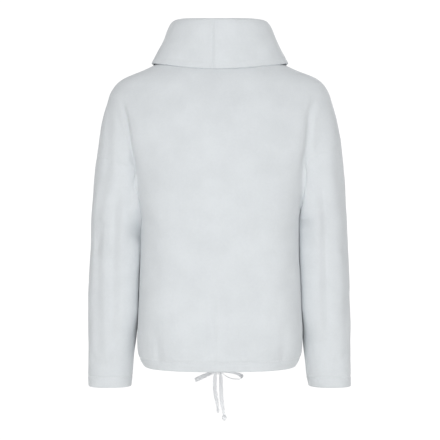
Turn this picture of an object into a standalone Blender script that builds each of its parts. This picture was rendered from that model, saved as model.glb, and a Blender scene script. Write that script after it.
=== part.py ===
# A hip-length fleece pullover with dropped shoulders, a fold-over funnel collar and a drawstring hem.
# It is filled out and open at the neck, hem and cuffs. The origin is at the level of the neck points of
# the shoulders, +Z is up, the wearer faces -Y and the wearer's left is +X.

from math import cos, pi, radians, sin

import bmesh
import bpy
import numpy as np
from mathutils import Vector

# Cloth and seams, in metres
clothThickness = 0.003
collarThickness = 0.004
hemThickness = 0.0055
seamGap = 0.00035
armholeGap = 0.0007
hemTurnUp = 0.019
cuffTurnUp = 0.022
edgeRow = 0.0025
stepRow = 0.0015
stepLength = 0.004

# Main levels and sizes of the garment, in metres
hemLevel = -0.6235
cuffLevel = -0.6676
underarmLevel = -0.333
neckHalfWidth = 0.0935
backNeckDrop = 0.020
frontNeckDrop = 0.085
armSquareness = 2.15
foldEnds = 0.7
foldFacing = 0.03

# Columns and rows of the cloth's grid
neckColumns = 8
shoulderColumns = 9
sideRows = 8
creaseRows = 5
overArmRows = 6
sleeveRows = 12
neckEvenness = 0.35
creaseSpread = 1.5
overArmSlant = 0.55
yokeSpread = 1.15
middleRaise = 0.12
columnBlend = 3
turnEase = 2.2

# Drawstring tape
tapeWidth = 0.0088
tapeThickness = 0.0014
leadKnotWidth = 0.005
tailEndWidth = 0.0045
endKnotGap = 0.0003
leadPoints = 8
loopPoints = 20
tailPoints = 14
bowKnotSegments = 12
endKnotSegments = 8

# The body at each level: half width, depth behind and in front of the shoulder line, and squareness
torsoColumns = ("level", "half_width", "back", "front", "squareness")
torsoTable = (
    (0.0100, 0.0600, 0.0300, 0.0300, 2.0),
    (0.0000, 0.0935, 0.0460, 0.0500, 2.0),
    (-0.0100, 0.1160, 0.0560, 0.0620, 2.0),
    (-0.0244, 0.1475, 0.0660, 0.0760, 2.1),
    (-0.0450, 0.1900, 0.0800, 0.0900, 2.2),
    (-0.0610, 0.2045, 0.0880, 0.0990, 2.2),
    (-0.0800, 0.2095, 0.0950, 0.1080, 2.3),
    (-0.1100, 0.2070, 0.1060, 0.1190, 2.4),
    (-0.1500, 0.1970, 0.1150, 0.1300, 2.5),
    (-0.2100, 0.1830, 0.1210, 0.1400, 2.5),
    (-0.2600, 0.1720, 0.1230, 0.1400, 2.5),
    (-0.3000, 0.1650, 0.1235, 0.1370, 2.5),
    (-0.3330, 0.1605, 0.1235, 0.1340, 2.5),
    (-0.3700, 0.1605, 0.1230, 0.1310, 2.5),
    (-0.4500, 0.1625, 0.1230, 0.1270, 2.5),
    (-0.5000, 0.1645, 0.1235, 0.1260, 2.5),
    (-0.5640, 0.1668, 0.1240, 0.1265, 2.5),
    (-0.5900, 0.1660, 0.1230, 0.1260, 2.5),
    (-0.6090, 0.1610, 0.1190, 0.1220, 2.5),
    (-0.6235, 0.1530, 0.1150, 0.1180, 2.5),
)

# Each arm at each level: outer edge, half width, depth behind and in front, how far it leans forward,
# and how softly it runs into the body
armColumns = ("level", "outer", "half_width", "back", "front", "forward", "softness")
armTables = {
    "left": (
        (0.0100, 0.0600, 0.0200, 0.0100, 0.0100, 0.000, 0.040),
        (-0.0244, 0.1300, 0.0250, 0.0150, 0.0150, 0.000, 0.040),
        (-0.0450, 0.1860, 0.0360, 0.0230, 0.0230, 0.000, 0.040),
        (-0.0610, 0.2070, 0.0440, 0.0340, 0.0340, 0.000, 0.036),
        (-0.0770, 0.2205, 0.0480, 0.0430, 0.0430, 0.000, 0.030),
        (-0.1100, 0.2335, 0.0510, 0.0520, 0.0520, 0.000, 0.020),
        (-0.1420, 0.2410, 0.0530, 0.0570, 0.0580, 0.000, 0.014),
        (-0.1910, 0.2476, 0.0530, 0.0610, 0.0630, 0.000, 0.011),
        (-0.2400, 0.2537, 0.0525, 0.0630, 0.0650, 0.000, 0.008),
        (-0.3050, 0.2600, 0.0510, 0.0640, 0.0660, 0.000, 0.004),
        (-0.3330, 0.2612, 0.0503, 0.0630, 0.0650, 0.000, 0.002),
        (-0.3700, 0.2625, 0.0501, 0.0610, 0.0630, 0.001, 0.002),
        (-0.4500, 0.2660, 0.0508, 0.0560, 0.0580, 0.004, 0.002),
        (-0.5000, 0.2680, 0.0508, 0.0530, 0.0550, 0.007, 0.002),
        (-0.5640, 0.2680, 0.0487, 0.0470, 0.0480, 0.010, 0.002),
        (-0.6136, 0.2680, 0.0457, 0.0400, 0.0410, 0.012, 0.002),
        (-0.6460, 0.2680, 0.0447, 0.0360, 0.0370, 0.013, 0.002),
        (-0.6676, 0.2676, 0.0434, 0.0340, 0.0350, 0.014, 0.002),
    ),
    "right": (
        (0.0100, 0.0600, 0.0200, 0.0100, 0.0100, 0.000, 0.045),
        (-0.0244, 0.1280, 0.0250, 0.0150, 0.0150, 0.000, 0.045),
        (-0.0450, 0.1820, 0.0360, 0.0230, 0.0230, 0.000, 0.045),
        (-0.0610, 0.2020, 0.0440, 0.0350, 0.0350, 0.000, 0.042),
        (-0.0770, 0.2160, 0.0480, 0.0440, 0.0440, 0.000, 0.036),
        (-0.1100, 0.2320, 0.0520, 0.0530, 0.0530, 0.000, 0.028),
        (-0.1420, 0.2395, 0.0540, 0.0580, 0.0590, 0.000, 0.024),
        (-0.1910, 0.2476, 0.0530, 0.0620, 0.0640, 0.000, 0.020),
        (-0.2400, 0.2520, 0.0510, 0.0640, 0.0660, 0.000, 0.015),
        (-0.3050, 0.2560, 0.0480, 0.0640, 0.0660, 0.000, 0.008),
        (-0.3330, 0.2575, 0.0467, 0.0630, 0.0650, 0.000, 0.005),
        (-0.3700, 0.2590, 0.0478, 0.0610, 0.0630, 0.001, 0.003),
        (-0.4500, 0.2625, 0.0489, 0.0560, 0.0580, 0.004, 0.002),
        (-0.5000, 0.2640, 0.0487, 0.0530, 0.0550, 0.007, 0.002),
        (-0.5640, 0.2660, 0.0484, 0.0470, 0.0480, 0.010, 0.002),
        (-0.6136, 0.2660, 0.0462, 0.0400, 0.0410, 0.012, 0.002),
        (-0.6460, 0.2665, 0.0449, 0.0360, 0.0370, 0.013, 0.002),
        (-0.6676, 0.2674, 0.0431, 0.0340, 0.0350, 0.014, 0.002),
    ),
}

# Where the crease ends and the sleeve seam turns over the arm, and where it meets the shoulder seam
seamTurn = {"left": -0.225, "right": -0.208}
seamTop = {"left": -0.192, "right": -0.168}

# The largest folds: soft troughs that run down the cloth, with the place and level of both ends
foldColumns = ("side", "face", "top", "bottom", "x_top", "x_bottom", "width", "depth")
foldTable = (
    ("left", "back", -0.085, -0.270, 0.2210, 0.2215, 0.009, 0.0030),
    ("left", "back", -0.330, -0.640, 0.2430, 0.2395, 0.010, 0.0024),
    ("left", "front", -0.120, -0.300, 0.2150, 0.2230, 0.011, 0.0028),
    ("left", "front", -0.380, -0.600, 0.2050, 0.2100, 0.012, 0.0022),
    ("right", "back", -0.150, -0.330, 0.2330, 0.2380, 0.010, 0.0020),
    ("right", "front", -0.110, -0.290, 0.2120, 0.2200, 0.011, 0.0026),
    ("right", "front", -0.350, -0.590, 0.2350, 0.2300, 0.012, 0.0022),
    ("left", "back", -0.450, -0.640, 0.0150, 0.0150, 0.014, 0.0016),
    ("left", "front", -0.300, -0.600, 0.0900, 0.0700, 0.020, 0.0030),
    ("right", "front", -0.260, -0.560, 0.0950, 0.0780, 0.022, 0.0034),
    ("left", "front", -0.120, -0.300, 0.1150, 0.0800, 0.018, 0.0026),
)

# The collar's cloth from the neck seam up the stand, over the fold and down the flap:
# half width, depth behind and in front, and level at the sides, the back and the front
collarColumns = ("half_width", "back", "front", "side_level", "back_level", "front_level")
collarTable = (
    (0.0900, 0.0630, 0.0960, 0.0140, -0.0050, -0.0610),
    (0.0860, 0.0625, 0.0860, 0.0360, 0.0250, -0.0220),
    (0.0845, 0.0630, 0.0820, 0.0570, 0.0500, 0.0140),
    (0.0862, 0.0650, 0.0830, 0.0680, 0.0620, 0.0270),
    (0.0905, 0.0678, 0.0862, 0.0725, 0.0672, 0.0325),
    (0.0958, 0.0708, 0.0908, 0.0695, 0.0640, 0.0290),
    (0.1025, 0.0730, 0.0968, 0.0590, 0.0530, 0.0150),
    (0.1128, 0.0750, 0.1046, 0.0365, 0.0290, -0.0160),
    (0.1265, 0.0768, 0.1138, 0.0115, -0.0010, -0.0530),
    (0.1345, 0.0780, 0.1190, -0.0030, -0.0180, -0.0780),
    (0.1392, 0.0792, 0.1225, -0.0125, -0.0310, -0.0960),
)

# The drawstring's routes, chosen by hand: the tape's middle, from the channel or the knot outwards
knotPlace = Vector((0.0040, -0.1280, -0.6526))
knotHalfSize = Vector((0.0085, 0.0055, 0.0062))
leadRoutes = {
    "left": ((0.0135, -0.1230, -0.6110), (0.0131, -0.1213, -0.6180), (0.0125, -0.1210, -0.6240),
             (0.0108, -0.1240, -0.6350), (0.0078, -0.1272, -0.6465)),
    "right": ((-0.0135, -0.1230, -0.6110), (-0.0130, -0.1213, -0.6180), (-0.0118, -0.1210, -0.6240),
              (-0.0070, -0.1240, -0.6350), (-0.0004, -0.1272, -0.6465)),
}
loopRoutes = {
    "left": ((0.0132, -0.1300, -0.6545), (0.0190, -0.1330, -0.6562), (0.0300, -0.1362, -0.6605),
             (0.0420, -0.1365, -0.6658), (0.0500, -0.1345, -0.6696), (0.0530, -0.1285, -0.6711),
             (0.0500, -0.1225, -0.6698), (0.0420, -0.1205, -0.6662), (0.0300, -0.1208, -0.6607),
             (0.0190, -0.1235, -0.6560), (0.0132, -0.1262, -0.6543)),
    "right": ((-0.0052, -0.1300, -0.6545), (-0.0100, -0.1330, -0.6576), (-0.0190, -0.1362, -0.6632),
              (-0.0320, -0.1365, -0.6668), (-0.0430, -0.1345, -0.6668), (-0.0468, -0.1285, -0.6652),
              (-0.0430, -0.1225, -0.6632), (-0.0330, -0.1205, -0.6606), (-0.0200, -0.1208, -0.6576),
              (-0.0110, -0.1235, -0.6556), (-0.0052, -0.1262, -0.6538)),
}
tailRoutes = {
    "left": ((0.0098, -0.1290, -0.6591), (0.0106, -0.1292, -0.6680), (0.0112, -0.1292, -0.6800),
             (0.0108, -0.1285, -0.6930), (0.0088, -0.1280, -0.7070), (0.0062, -0.1275, -0.7210),
             (0.0046, -0.1270, -0.7320)),
    "right": ((-0.0012, -0.1262, -0.6590), (-0.0018, -0.1258, -0.6690), (-0.0021, -0.1258, -0.6820),
              (-0.0024, -0.1262, -0.6960), (-0.0032, -0.1266, -0.7110), (-0.0052, -0.1268, -0.7260),
              (-0.0078, -0.1268, -0.7400), (-0.0088, -0.1268, -0.7475)),
}
endKnotHalfSize = {"left": Vector((0.0030, 0.0028, 0.0048)), "right": Vector((0.0042, 0.0034, 0.0054))}

# Surface finish of each material: colour and roughness
fleeceColour = (0.79, 0.80, 0.81, 1.0)
tapeColour = (0.84, 0.85, 0.86, 1.0)
fleeceRoughness = 0.95
tapeRoughness = 0.7


def curveThrough(places, values):
    # A smooth curve through the rows of a table that never overshoots between two rows
    order = np.argsort(places)
    xs = np.asarray(places, float)[order]
    ys = np.asarray(values, float)[order]
    steps = np.diff(xs)
    rises = np.diff(ys) / steps
    product = rises[:-1] * rises[1:]
    total = rises[:-1] + rises[1:]
    slopes = np.empty_like(ys)
    slopes[1:-1] = np.where(product > 0, 2 * product / np.where(product > 0, total, 1), 0)
    slopes[0] = rises[0]
    slopes[-1] = rises[-1]

    def at(x):
        x = np.clip(x, xs[0], xs[-1])
        i = np.clip(np.searchsorted(xs, x, side="right") - 1, 0, len(xs) - 2)
        t = (x - xs[i]) / steps[i]
        rise = ys[i + 1] - ys[i]
        bend = slopes[i] * steps[i]
        bendNext = slopes[i + 1] * steps[i]
        return ys[i] + t * (bend + t * (3 * rise - 2 * bend - bendNext + t * (bend + bendNext - 2 * rise)))

    return at


def readTable(columns, rows):
    # One smooth curve over the level for each named column
    levels = [row[0] for row in rows]
    return {name: curveThrough(levels, [row[i] for row in rows]) for i, name in enumerate(columns) if i}


torso = readTable(torsoColumns, torsoTable)
arms = {side: readTable(armColumns, rows) for side, rows in armTables.items()}
folds = [dict(zip(foldColumns, row)) for row in foldTable]


def outlineGap(x, y, halfX, halfY, squareness):
    # How far a point lies outside a rounded outline, along the line from its middle
    reach = ((np.abs(x) / halfX) ** squareness + (np.abs(y) / halfY) ** squareness) ** (1 / squareness)
    radius = np.hypot(x, y)
    reach = np.maximum(reach, 1e-6)
    return np.where(radius < 1e-7, -np.minimum(halfX, halfY), radius * (1 - 1 / reach))


def bodyGap(x, y, z):
    depth = np.where(y > 0, torso["back"](z), torso["front"](z))
    return outlineGap(x, y, torso["half_width"](z), depth, torso["squareness"](z))


def armGap(side, x, y, z):
    arm = arms[side]
    halfWidth = arm["half_width"](z)
    acrossArm = x - (arm["outer"](z) - halfWidth)
    behind = y + arm["forward"](z)
    depth = np.where(behind > 0, arm["back"](z), arm["front"](z))
    return outlineGap(acrossArm, behind, halfWidth, depth, armSquareness)


def foldHollow(side, x, y, z):
    hollow = np.zeros(np.broadcast(x, y, z).shape)
    for fold in folds:
        if fold["side"] != side:
            continue
        along = np.clip((fold["top"] - z) / (fold["top"] - fold["bottom"]), 0, 1)
        place = fold["x_top"] + (fold["x_bottom"] - fold["x_top"]) * along
        facing = np.clip((y if fold["face"] == "back" else -y) / foldFacing, 0, 1)
        across = np.exp(-((x - place) / fold["width"]) ** 2)
        hollow = hollow + fold["depth"] * facing * across * np.sin(pi * along) ** foldEnds
    return hollow


def clothField(side, x, y, z, part="whole"):
    # Below zero inside the garment and above zero outside it, with x measured outwards on either side
    arm = armGap(side, x, y, z)
    if part == "arm":
        return arm + foldHollow(side, x, y, z)
    body = bodyGap(x, y, z)
    soft = arms[side]["softness"](z)
    near = np.maximum(soft - np.abs(body - arm), 0) / soft
    return np.minimum(body, arm) - near * near * soft / 4 + foldHollow(side, x, y, z)


def findZero(value, low, high, turns=38):
    # The place between low, inside the garment, and high, outside it, where the cloth lies
    low = np.array(low, float)
    high = np.array(high, float)
    for _ in range(turns):
        middle = (low + high) / 2
        inside = value(middle) < 0
        low = np.where(inside, middle, low)
        high = np.where(inside, high, middle)
    return (low + high) / 2


def clothNormal(side, points, part="whole"):
    step = 0.0005
    slopes = []
    for axis in range(3):
        ahead = points.copy()
        behind = points.copy()
        ahead[..., axis] += step
        behind[..., axis] -= step
        rise = clothField(side, *np.moveaxis(ahead, -1, 0), part)
        slopes.append(rise - clothField(side, *np.moveaxis(behind, -1, 0), part))
    normal = np.stack(slopes, -1)
    return normal / np.linalg.norm(normal, axis=-1, keepdims=True)


def edgeX(side, z):
    # The garment's outer edge at a level, seen from behind
    low = np.full(np.shape(z), 0.05)
    high = np.full(np.shape(z), 0.34)
    return findZero(lambda x: clothField(side, x, 0.0 * x, z), low, high)


def clothDepth(side, facing, x, z):
    # How far the cloth stands behind or in front of the shoulder line
    near = np.zeros(np.shape(x))
    return findZero(lambda y: clothField(side, x, facing * y, z), near, near + 0.25)


def underarmPoint(side):
    arm = arms[side]
    inner = arm["outer"](underarmLevel) - 2 * arm["half_width"](underarmLevel)
    x = (torso["half_width"](underarmLevel) + inner) / 2
    level = findZero(lambda z: -clothField(side, np.array(x), np.array(0.0), z), -0.42, -0.25)
    return float(x), float(level)


def creasePoint(side, facing, z):
    # The bottom of the crease between body and sleeve at one level
    arm = arms[side]
    outermost = float(arm["outer"](z) - arm["half_width"](z))

    def onArm(x):
        y = facing * clothDepth(side, facing, x, z)
        return bodyGap(x, y, z) - armGap(side, x, y, z)

    x = findZero(onArm, np.array(torso["half_width"](z) * 0.75), np.array(outermost))
    return float(x)


def seamAroundArm(side, facing):
    # The sleeve seam seen from behind: up the crease from the underarm, then over the arm to the shoulder
    xUnder, zUnder = underarmPoint(side)
    turn = seamTurn[side]
    places = [(xUnder, zUnder)]
    for i in range(1, creaseRows + 1):
        z = zUnder + (turn - zUnder) * (i / creaseRows) ** creaseSpread
        places.append((creasePoint(side, facing, z), z))
    xTurn = places[-1][0]
    top = seamTop[side]
    xTop = float(edgeX(side, np.array(top)))
    for i in range(1, overArmRows + 1):
        across = sin(pi / 2 * i / overArmRows)
        rise = 1 - cos(pi / 2 * i / overArmRows)
        climb = overArmSlant * across + (1 - overArmSlant) * rise
        places.append((xTurn + (xTop - xTurn) * across, turn + (top - turn) * climb))
    return np.array(places)


def shoulderLine(side):
    # From the neck point down the shoulder seam to the top of the sleeve seam
    levels = seamTop[side] * np.linspace(0, 1, 160) ** 2
    line = np.column_stack([edgeX(side, levels), levels])
    line[0, 0] = neckHalfWidth
    length = np.concatenate([[0], np.cumsum(np.linalg.norm(np.diff(line, axis=0), axis=1))])
    spread = length[-1] * np.linspace(0, 1, shoulderColumns + 1)
    return np.column_stack([np.interp(spread, length, line[:, 0]), np.interp(spread, length, line[:, 1])])


def neckTurns():
    # Angles of the neck's columns, from the middle to the neck point of the shoulder
    share = np.arange(neckColumns + 1) / neckColumns
    spread = (1 - neckEvenness) * np.sin(pi / 2 * share) + neckEvenness * share
    return np.arcsin(np.minimum(spread, 1))


def neckLine(facing):
    drop = backNeckDrop if facing > 0 else frontNeckDrop
    turn = neckTurns()
    return np.column_stack([neckHalfWidth * np.sin(turn), -drop * np.cos(turn) ** 2])


def hemSpacing():
    # Shares of the half width that lie evenly round the hem
    square = float(torso["squareness"](hemLevel))
    halfX = float(torso["half_width"](hemLevel))
    halfY = float(torso["back"](hemLevel))
    turn = np.linspace(0, pi / 2, 400)
    x = halfX * np.sin(turn) ** (2 / square)
    y = halfY * np.cos(turn) ** (2 / square)
    length = np.concatenate([[0], np.cumsum(np.hypot(np.diff(x), np.diff(y)))])
    spread = length[-1] * np.linspace(0, 1, neckColumns + shoulderColumns + 1)
    return np.interp(spread, length, x) / halfX


def sideLevels(zUnder):
    # Levels of the rows on the side seam: close together at the turned hem, then evenly up to the underarm
    hemRows = [0, edgeRow, hemTurnUp - edgeRow, hemTurnUp + stepRow]
    above = np.linspace(hemLevel + hemRows[-1], zUnder, sideRows + 1)[1:]
    return np.concatenate([[hemLevel + h for h in hemRows], above])


def panelGrid(side, facing):
    # The panel's half as rows of points, first in the plane seen from behind, then on the cloth
    arm = seamAroundArm(side, facing)
    levels = sideLevels(arm[0, 1])
    count = len(levels)
    right = np.vstack([np.column_stack([torso["half_width"](levels), levels]), arm[1:]])
    right[count - 1] = arm[0]
    neck = neckLine(facing)
    top = np.vstack([neck, shoulderLine(side)[1:]])
    shares = hemSpacing()
    bottom = np.column_stack([shares * right[0, 0], np.full(len(shares), hemLevel)])
    middleTop = neck[0, 1]
    middle = np.empty(len(right))
    above = levels - hemLevel
    middle[:count] = hemLevel + above * (1 + middleRaise * above / (arm[0, 1] - hemLevel))
    rise = np.arange(1, len(right) - count + 1) / (len(right) - count)
    middle[count:] = middleTop + (middle[count - 1] - middleTop) * (1 - rise) ** yokeSpread
    left = np.column_stack([np.zeros(len(right)), middle])
    v = ((middle - hemLevel) / (middleTop - hemLevel))[:, None, None]
    u = shares[None, :, None] ** columnBlend
    flat = (1 - v) * bottom[None] + v * top[None] + (1 - u) * left[:, None] + u * right[:, None]
    flat -= (1 - u) * (1 - v) * bottom[0] + u * (1 - v) * bottom[-1] + (1 - u) * v * top[0] + u * v * top[-1]
    x, z = flat[..., 0], flat[..., 1]
    y = facing * clothDepth(side, facing, x, z)
    y[:count, -1] = 0
    y[-1, neckColumns:] = 0
    points = np.stack([x, y, z], -1)
    normals = clothNormal(side, points)
    normals[:count, -1, 1] = 0
    normals[-1, neckColumns:, 1] = 0
    normals[:, 0, 0] = 0
    normals /= np.linalg.norm(normals, axis=-1, keepdims=True)
    return points, normals, count


def wallThickness(z, edgeLevel, turnUp):
    # Twice as thick where the cloth is turned up at an edge
    extra = hemThickness - clothThickness
    return clothThickness + extra * np.clip((edgeLevel + turnUp + stepRow - z) / stepLength, 0, 1)


def pullBack(points, neighbours, alongSeam, distance):
    # Moves a seam edge into its own piece, square to the seam
    inward = neighbours - points
    along = alongSeam / np.linalg.norm(alongSeam, axis=-1, keepdims=True)
    inward -= along * np.sum(inward * along, axis=-1, keepdims=True)
    inward /= np.linalg.norm(inward, axis=-1, keepdims=True)
    return points + inward * distance


def mirrored(points, side):
    return points * np.array([1 if side == "left" else -1, 1, 1])


def closedShell(name, outer, inner, wrapped, material):
    # A wall between two grids of points, closed along its open edges
    rows, columns = outer.shape[:2]
    mesh = bmesh.new()
    faces = {}
    for key, grid in (("outer", outer), ("inner", inner)):
        faces[key] = [[mesh.verts.new(grid[r, c]) for c in range(columns)] for r in range(rows)]
    across = range(columns if wrapped else columns - 1)
    for key, turn in (("outer", 1), ("inner", -1)):
        grid = faces[key]
        for r in range(rows - 1):
            for c in across:
                d = (c + 1) % columns
                mesh.faces.new([grid[r][c], grid[r][d], grid[r + 1][d], grid[r + 1][c]][::turn])
    for r, turn in ((0, -1), (rows - 1, 1)):
        for c in across:
            d = (c + 1) % columns
            outerEnds = [faces["outer"][r][c], faces["outer"][r][d]]
            innerEnds = [faces["inner"][r][d], faces["inner"][r][c]]
            mesh.faces.new((outerEnds + innerEnds)[::turn])
    if not wrapped:
        for c, turn in ((0, 1), (columns - 1, -1)):
            for r in range(rows - 1):
                outerEnds = [faces["outer"][r][c], faces["outer"][r + 1][c]]
                innerEnds = [faces["inner"][r + 1][c], faces["inner"][r][c]]
                mesh.faces.new((outerEnds + innerEnds)[::turn])
    return finishObject(name, mesh, material)


def finishObject(name, mesh, material):
    bmesh.ops.recalc_face_normals(mesh, faces=mesh.faces)
    if mesh.calc_volume(signed=True) < 0:
        bmesh.ops.reverse_faces(mesh, faces=mesh.faces)
    data = bpy.data.meshes.new(name)
    mesh.to_mesh(data)
    mesh.free()
    data.materials.append(material)
    data.shade_smooth()
    data.set_sharp_from_angle(angle=radians(50))
    shape = bpy.data.objects.new(name, data)
    bpy.context.scene.collection.objects.link(shape)
    return shape


def makeMaterial(name, colour, roughness):
    material = bpy.data.materials.new(name)
    material.use_nodes = True
    shader = material.node_tree.nodes["Principled BSDF"]
    shader.inputs["Base Color"].default_value = colour
    shader.inputs["Roughness"].default_value = roughness
    shader.inputs["Metallic"].default_value = 0.0
    return material


def makePanel(name, facing, material):
    # One body panel: both halves of the cloth, joined at its middle
    halves = {}
    for side in ("left", "right"):
        points, normals, count = panelGrid(side, facing)
        along = np.gradient(points[count - 1:, -1], axis=0)
        nextColumn = points[count - 1:, -2]
        points[count - 1:, -1] = pullBack(points[count - 1:, -1], nextColumn, along, armholeGap / 2)
        thick = wallThickness(points[..., 2], hemLevel, hemTurnUp)[..., None]
        inner = points - normals * thick
        points[..., 1] += facing * seamGap / 2
        inner[..., 1] += facing * seamGap / 2
        halves[side] = mirrored(points, side), mirrored(inner, side)
    outer = np.concatenate([halves["right"][0][:, :0:-1], halves["left"][0]], axis=1)
    inner = np.concatenate([halves["right"][1][:, :0:-1], halves["left"][1]], axis=1)
    return closedShell(name, outer, inner, False, material)


def firstCrossing(value, count, farthest):
    # The nearest place along each ray where the cloth lies
    reach = np.linspace(0, farthest, 90)
    found = np.full(count, farthest)
    inside = np.zeros(count)
    done = np.zeros(count, bool)
    for distance in reach[1:]:
        outside = value(np.full(count, distance)) > 0
        new = outside & ~done
        found[new] = distance
        done |= outside
        inside[~done] = distance
    return findZero(value, inside, found)


def makeSleeve(name, side, material):
    # A tube from the sleeve seam down to the cuff; its columns run round from the shoulder, back first
    arm = arms[side]
    seams = {}
    for facing in (1, -1):
        flat = seamAroundArm(side, facing)[::-1]
        y = facing * clothDepth(side, facing, flat[:, 0], flat[:, 1])
        y[0] = 0
        y[-1] = 0
        seams[facing] = np.column_stack([flat[:, 0], y, flat[:, 1]])
    seam = np.vstack([seams[1], seams[-1][-2:0:-1]])
    count = len(seam)

    def centre(z):
        return np.stack([arm["outer"](z) - arm["half_width"](z), -arm["forward"](z)], -1)

    offset = seam[:, :2] - centre(seam[:, 2])
    startTurn = np.unwrap(np.arctan2(offset[:, 1], offset[:, 0]))
    halfCount = count // 2
    endTurn = 2 * pi * np.arange(count) / count
    hemRows = [edgeRow, cuffTurnUp - edgeRow, cuffTurnUp + stepRow]
    shares = np.linspace(0, 1, sleeveRows + 1)
    rows = []
    lastLevel = cuffLevel + hemRows[-1]
    for share in shares:
        levels = seam[:, 2] + (lastLevel - seam[:, 2]) * share
        ease = min(1.0, share * turnEase)
        ease = ease * ease * (3 - 2 * ease)
        rows.append((levels, startTurn + (endTurn - startTurn) * ease))
    for lift in (hemRows[1], hemRows[0], 0):
        rows.append((np.full(count, cuffLevel + lift), endTurn))
    outer = []
    normals = []
    for i, (levels, turn) in enumerate(rows):
        middle = centre(levels)
        ray = np.column_stack([np.cos(turn), np.sin(turn)])
        below = levels < seam[halfCount, 2] - 0.002

        def value(distance):
            x = middle[:, 0] + ray[:, 0] * distance
            y = middle[:, 1] + ray[:, 1] * distance
            whole = clothField(side, x, y, levels)
            alone = clothField(side, x, y, levels, "arm")
            return np.where(below, alone, whole)

        distance = firstCrossing(value, count, 0.13)
        points = np.column_stack([middle + ray * distance[:, None], levels])
        if i == 0:
            points = seam.copy()
        whole = clothNormal(side, points)
        alone = clothNormal(side, points, "arm")
        outer.append(points)
        normals.append(np.where(below[:, None], alone, whole))
    outer = np.array(outer)
    normals = np.array(normals)
    along = np.roll(seam, -1, axis=0) - np.roll(seam, 1, axis=0)
    outer[0] = pullBack(outer[0], outer[1], along, armholeGap / 2)
    thick = wallThickness(outer[..., 2], cuffLevel, cuffTurnUp)[..., None]
    inner = outer - normals * thick
    return closedShell(name, mirrored(outer, side), mirrored(inner, side), True, material)


def ringShare(turn, backValue, sideValue, frontValue):
    # A value that runs smoothly from the back, round the sides, to the front
    behind = np.cos(turn) > 0
    end = np.where(behind, backValue, frontValue)
    return sideValue + (end - sideValue) * np.abs(np.cos(turn)) ** np.where(behind, 2, 3)


def makeCollar(name, material):
    # A ring of cloth that stands up from the neck seam, folds over and hangs outside as a flap
    quarter = neckTurns()
    turn = np.concatenate([quarter, pi - quarter[-2::-1], pi + quarter[1:], 2 * pi - quarter[-2:0:-1]])
    sides = np.where(np.sin(turn) >= 0, "left", "right")
    neckPoints = np.empty((len(turn), 3))
    neckNormals = np.empty((len(turn), 3))
    for i, angle in enumerate(turn):
        facing = 1 if cos(angle) > -1e-9 else -1
        drop = backNeckDrop if facing > 0 else frontNeckDrop
        x = abs(neckHalfWidth * sin(angle))
        z = -drop * cos(angle) ** 2
        atShoulder = abs(cos(angle)) < 1e-9
        y = 0.0 if atShoulder else facing * float(clothDepth(sides[i], facing, np.array(x), np.array(z)))
        point = np.array([x, y, z])
        normal = clothNormal(sides[i], point)
        if atShoulder:
            normal[1] = 0
        neckPoints[i] = mirrored(point, sides[i])
        neckNormals[i] = mirrored(normal / np.linalg.norm(normal), sides[i])
    along = np.roll(neckPoints, -1, axis=0) - np.roll(neckPoints, 1, axis=0)
    upward = np.cross(along, neckNormals)
    upward /= np.linalg.norm(upward, axis=1, keepdims=True)
    upward *= np.sign(upward[:, 2:3] + 1e-12)
    rows = []
    for row in collarTable:
        size = dict(zip(collarColumns, row))
        depth = np.where(np.cos(turn) > 0, size["back"], size["front"])
        level = ringShare(turn, size["back_level"], size["side_level"], size["front_level"])
        rows.append(np.column_stack([size["half_width"] * np.sin(turn), depth * np.cos(turn), level]))
    middle = np.array(rows)
    start = neckPoints - neckNormals * clothThickness / 2
    withStart = np.concatenate([start[None], middle])
    down = np.gradient(withStart, axis=0)
    around = np.roll(withStart, -1, axis=1) - np.roll(withStart, 1, axis=1)
    normals = np.cross(around, down)
    normals /= np.linalg.norm(normals, axis=2, keepdims=True)
    outward = np.sum(normals[0] * neckNormals, axis=1, keepdims=True)
    normals *= np.sign(outward)[None]
    outer = withStart + normals * collarThickness / 2
    inner = withStart - normals * collarThickness / 2
    outer[0] = neckPoints + upward * seamGap
    inner[0] = neckPoints - neckNormals * clothThickness + upward * seamGap
    return closedShell(name, outer, inner, True, material)


def smoothRoute(points, count):
    # Points spread evenly along a smooth curve through a route's own points
    ends = [2 * Vector(points[0]) - Vector(points[1])] + [Vector(p) for p in points]
    ends.append(2 * Vector(points[-1]) - Vector(points[-2]))
    fine = []
    for a, b, c, d in zip(ends, ends[1:], ends[2:], ends[3:]):
        for step in range(12):
            t = step / 12
            bend = 2 * a - 5 * b + 4 * c - d
            twist = 3 * b - a - 3 * c + d
            fine.append((2 * b + (c - a) * t + bend * t * t + twist * t ** 3) / 2)
    fine.append(Vector(points[-1]))
    lengths = np.concatenate([[0], np.cumsum([(q - p).length for p, q in zip(fine, fine[1:])])])
    wanted = np.linspace(0, lengths[-1], count)
    array = np.array(fine)
    return np.column_stack([np.interp(wanted, lengths, array[:, axis]) for axis in range(3)])


def makeTape(name, points, count, widthEnds, material):
    # A flat tape along a route; it faces the back and front, and may narrow towards one end
    line = smoothRoute(points, count)
    chord = Vector(line[len(line) // 2] - line[0])
    across = chord.cross(Vector((0, 1, 0))).normalized()
    along = np.gradient(line, axis=0)
    mesh = bmesh.new()
    rings = []
    for i, (spot, way) in enumerate(zip(line, along)):
        way = Vector(way).normalized()
        flat = (across - way * across.dot(way)).normalized()
        thick = way.cross(flat).normalized() * tapeThickness / 2
        half = flat * (widthEnds[0] + (widthEnds[1] - widthEnds[0]) * i / (count - 1)) / 2
        spot = Vector(spot)
        corners = (spot + half + thick, spot + half - thick, spot - half - thick, spot - half + thick)
        rings.append([mesh.verts.new(corner) for corner in corners])
    for ring, following in zip(rings, rings[1:]):
        for k in range(4):
            m = (k + 1) % 4
            mesh.faces.new((ring[k], ring[m], following[m], following[k]))
    mesh.faces.new(rings[0])
    mesh.faces.new(rings[-1])
    return finishObject(name, mesh, material)


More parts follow.
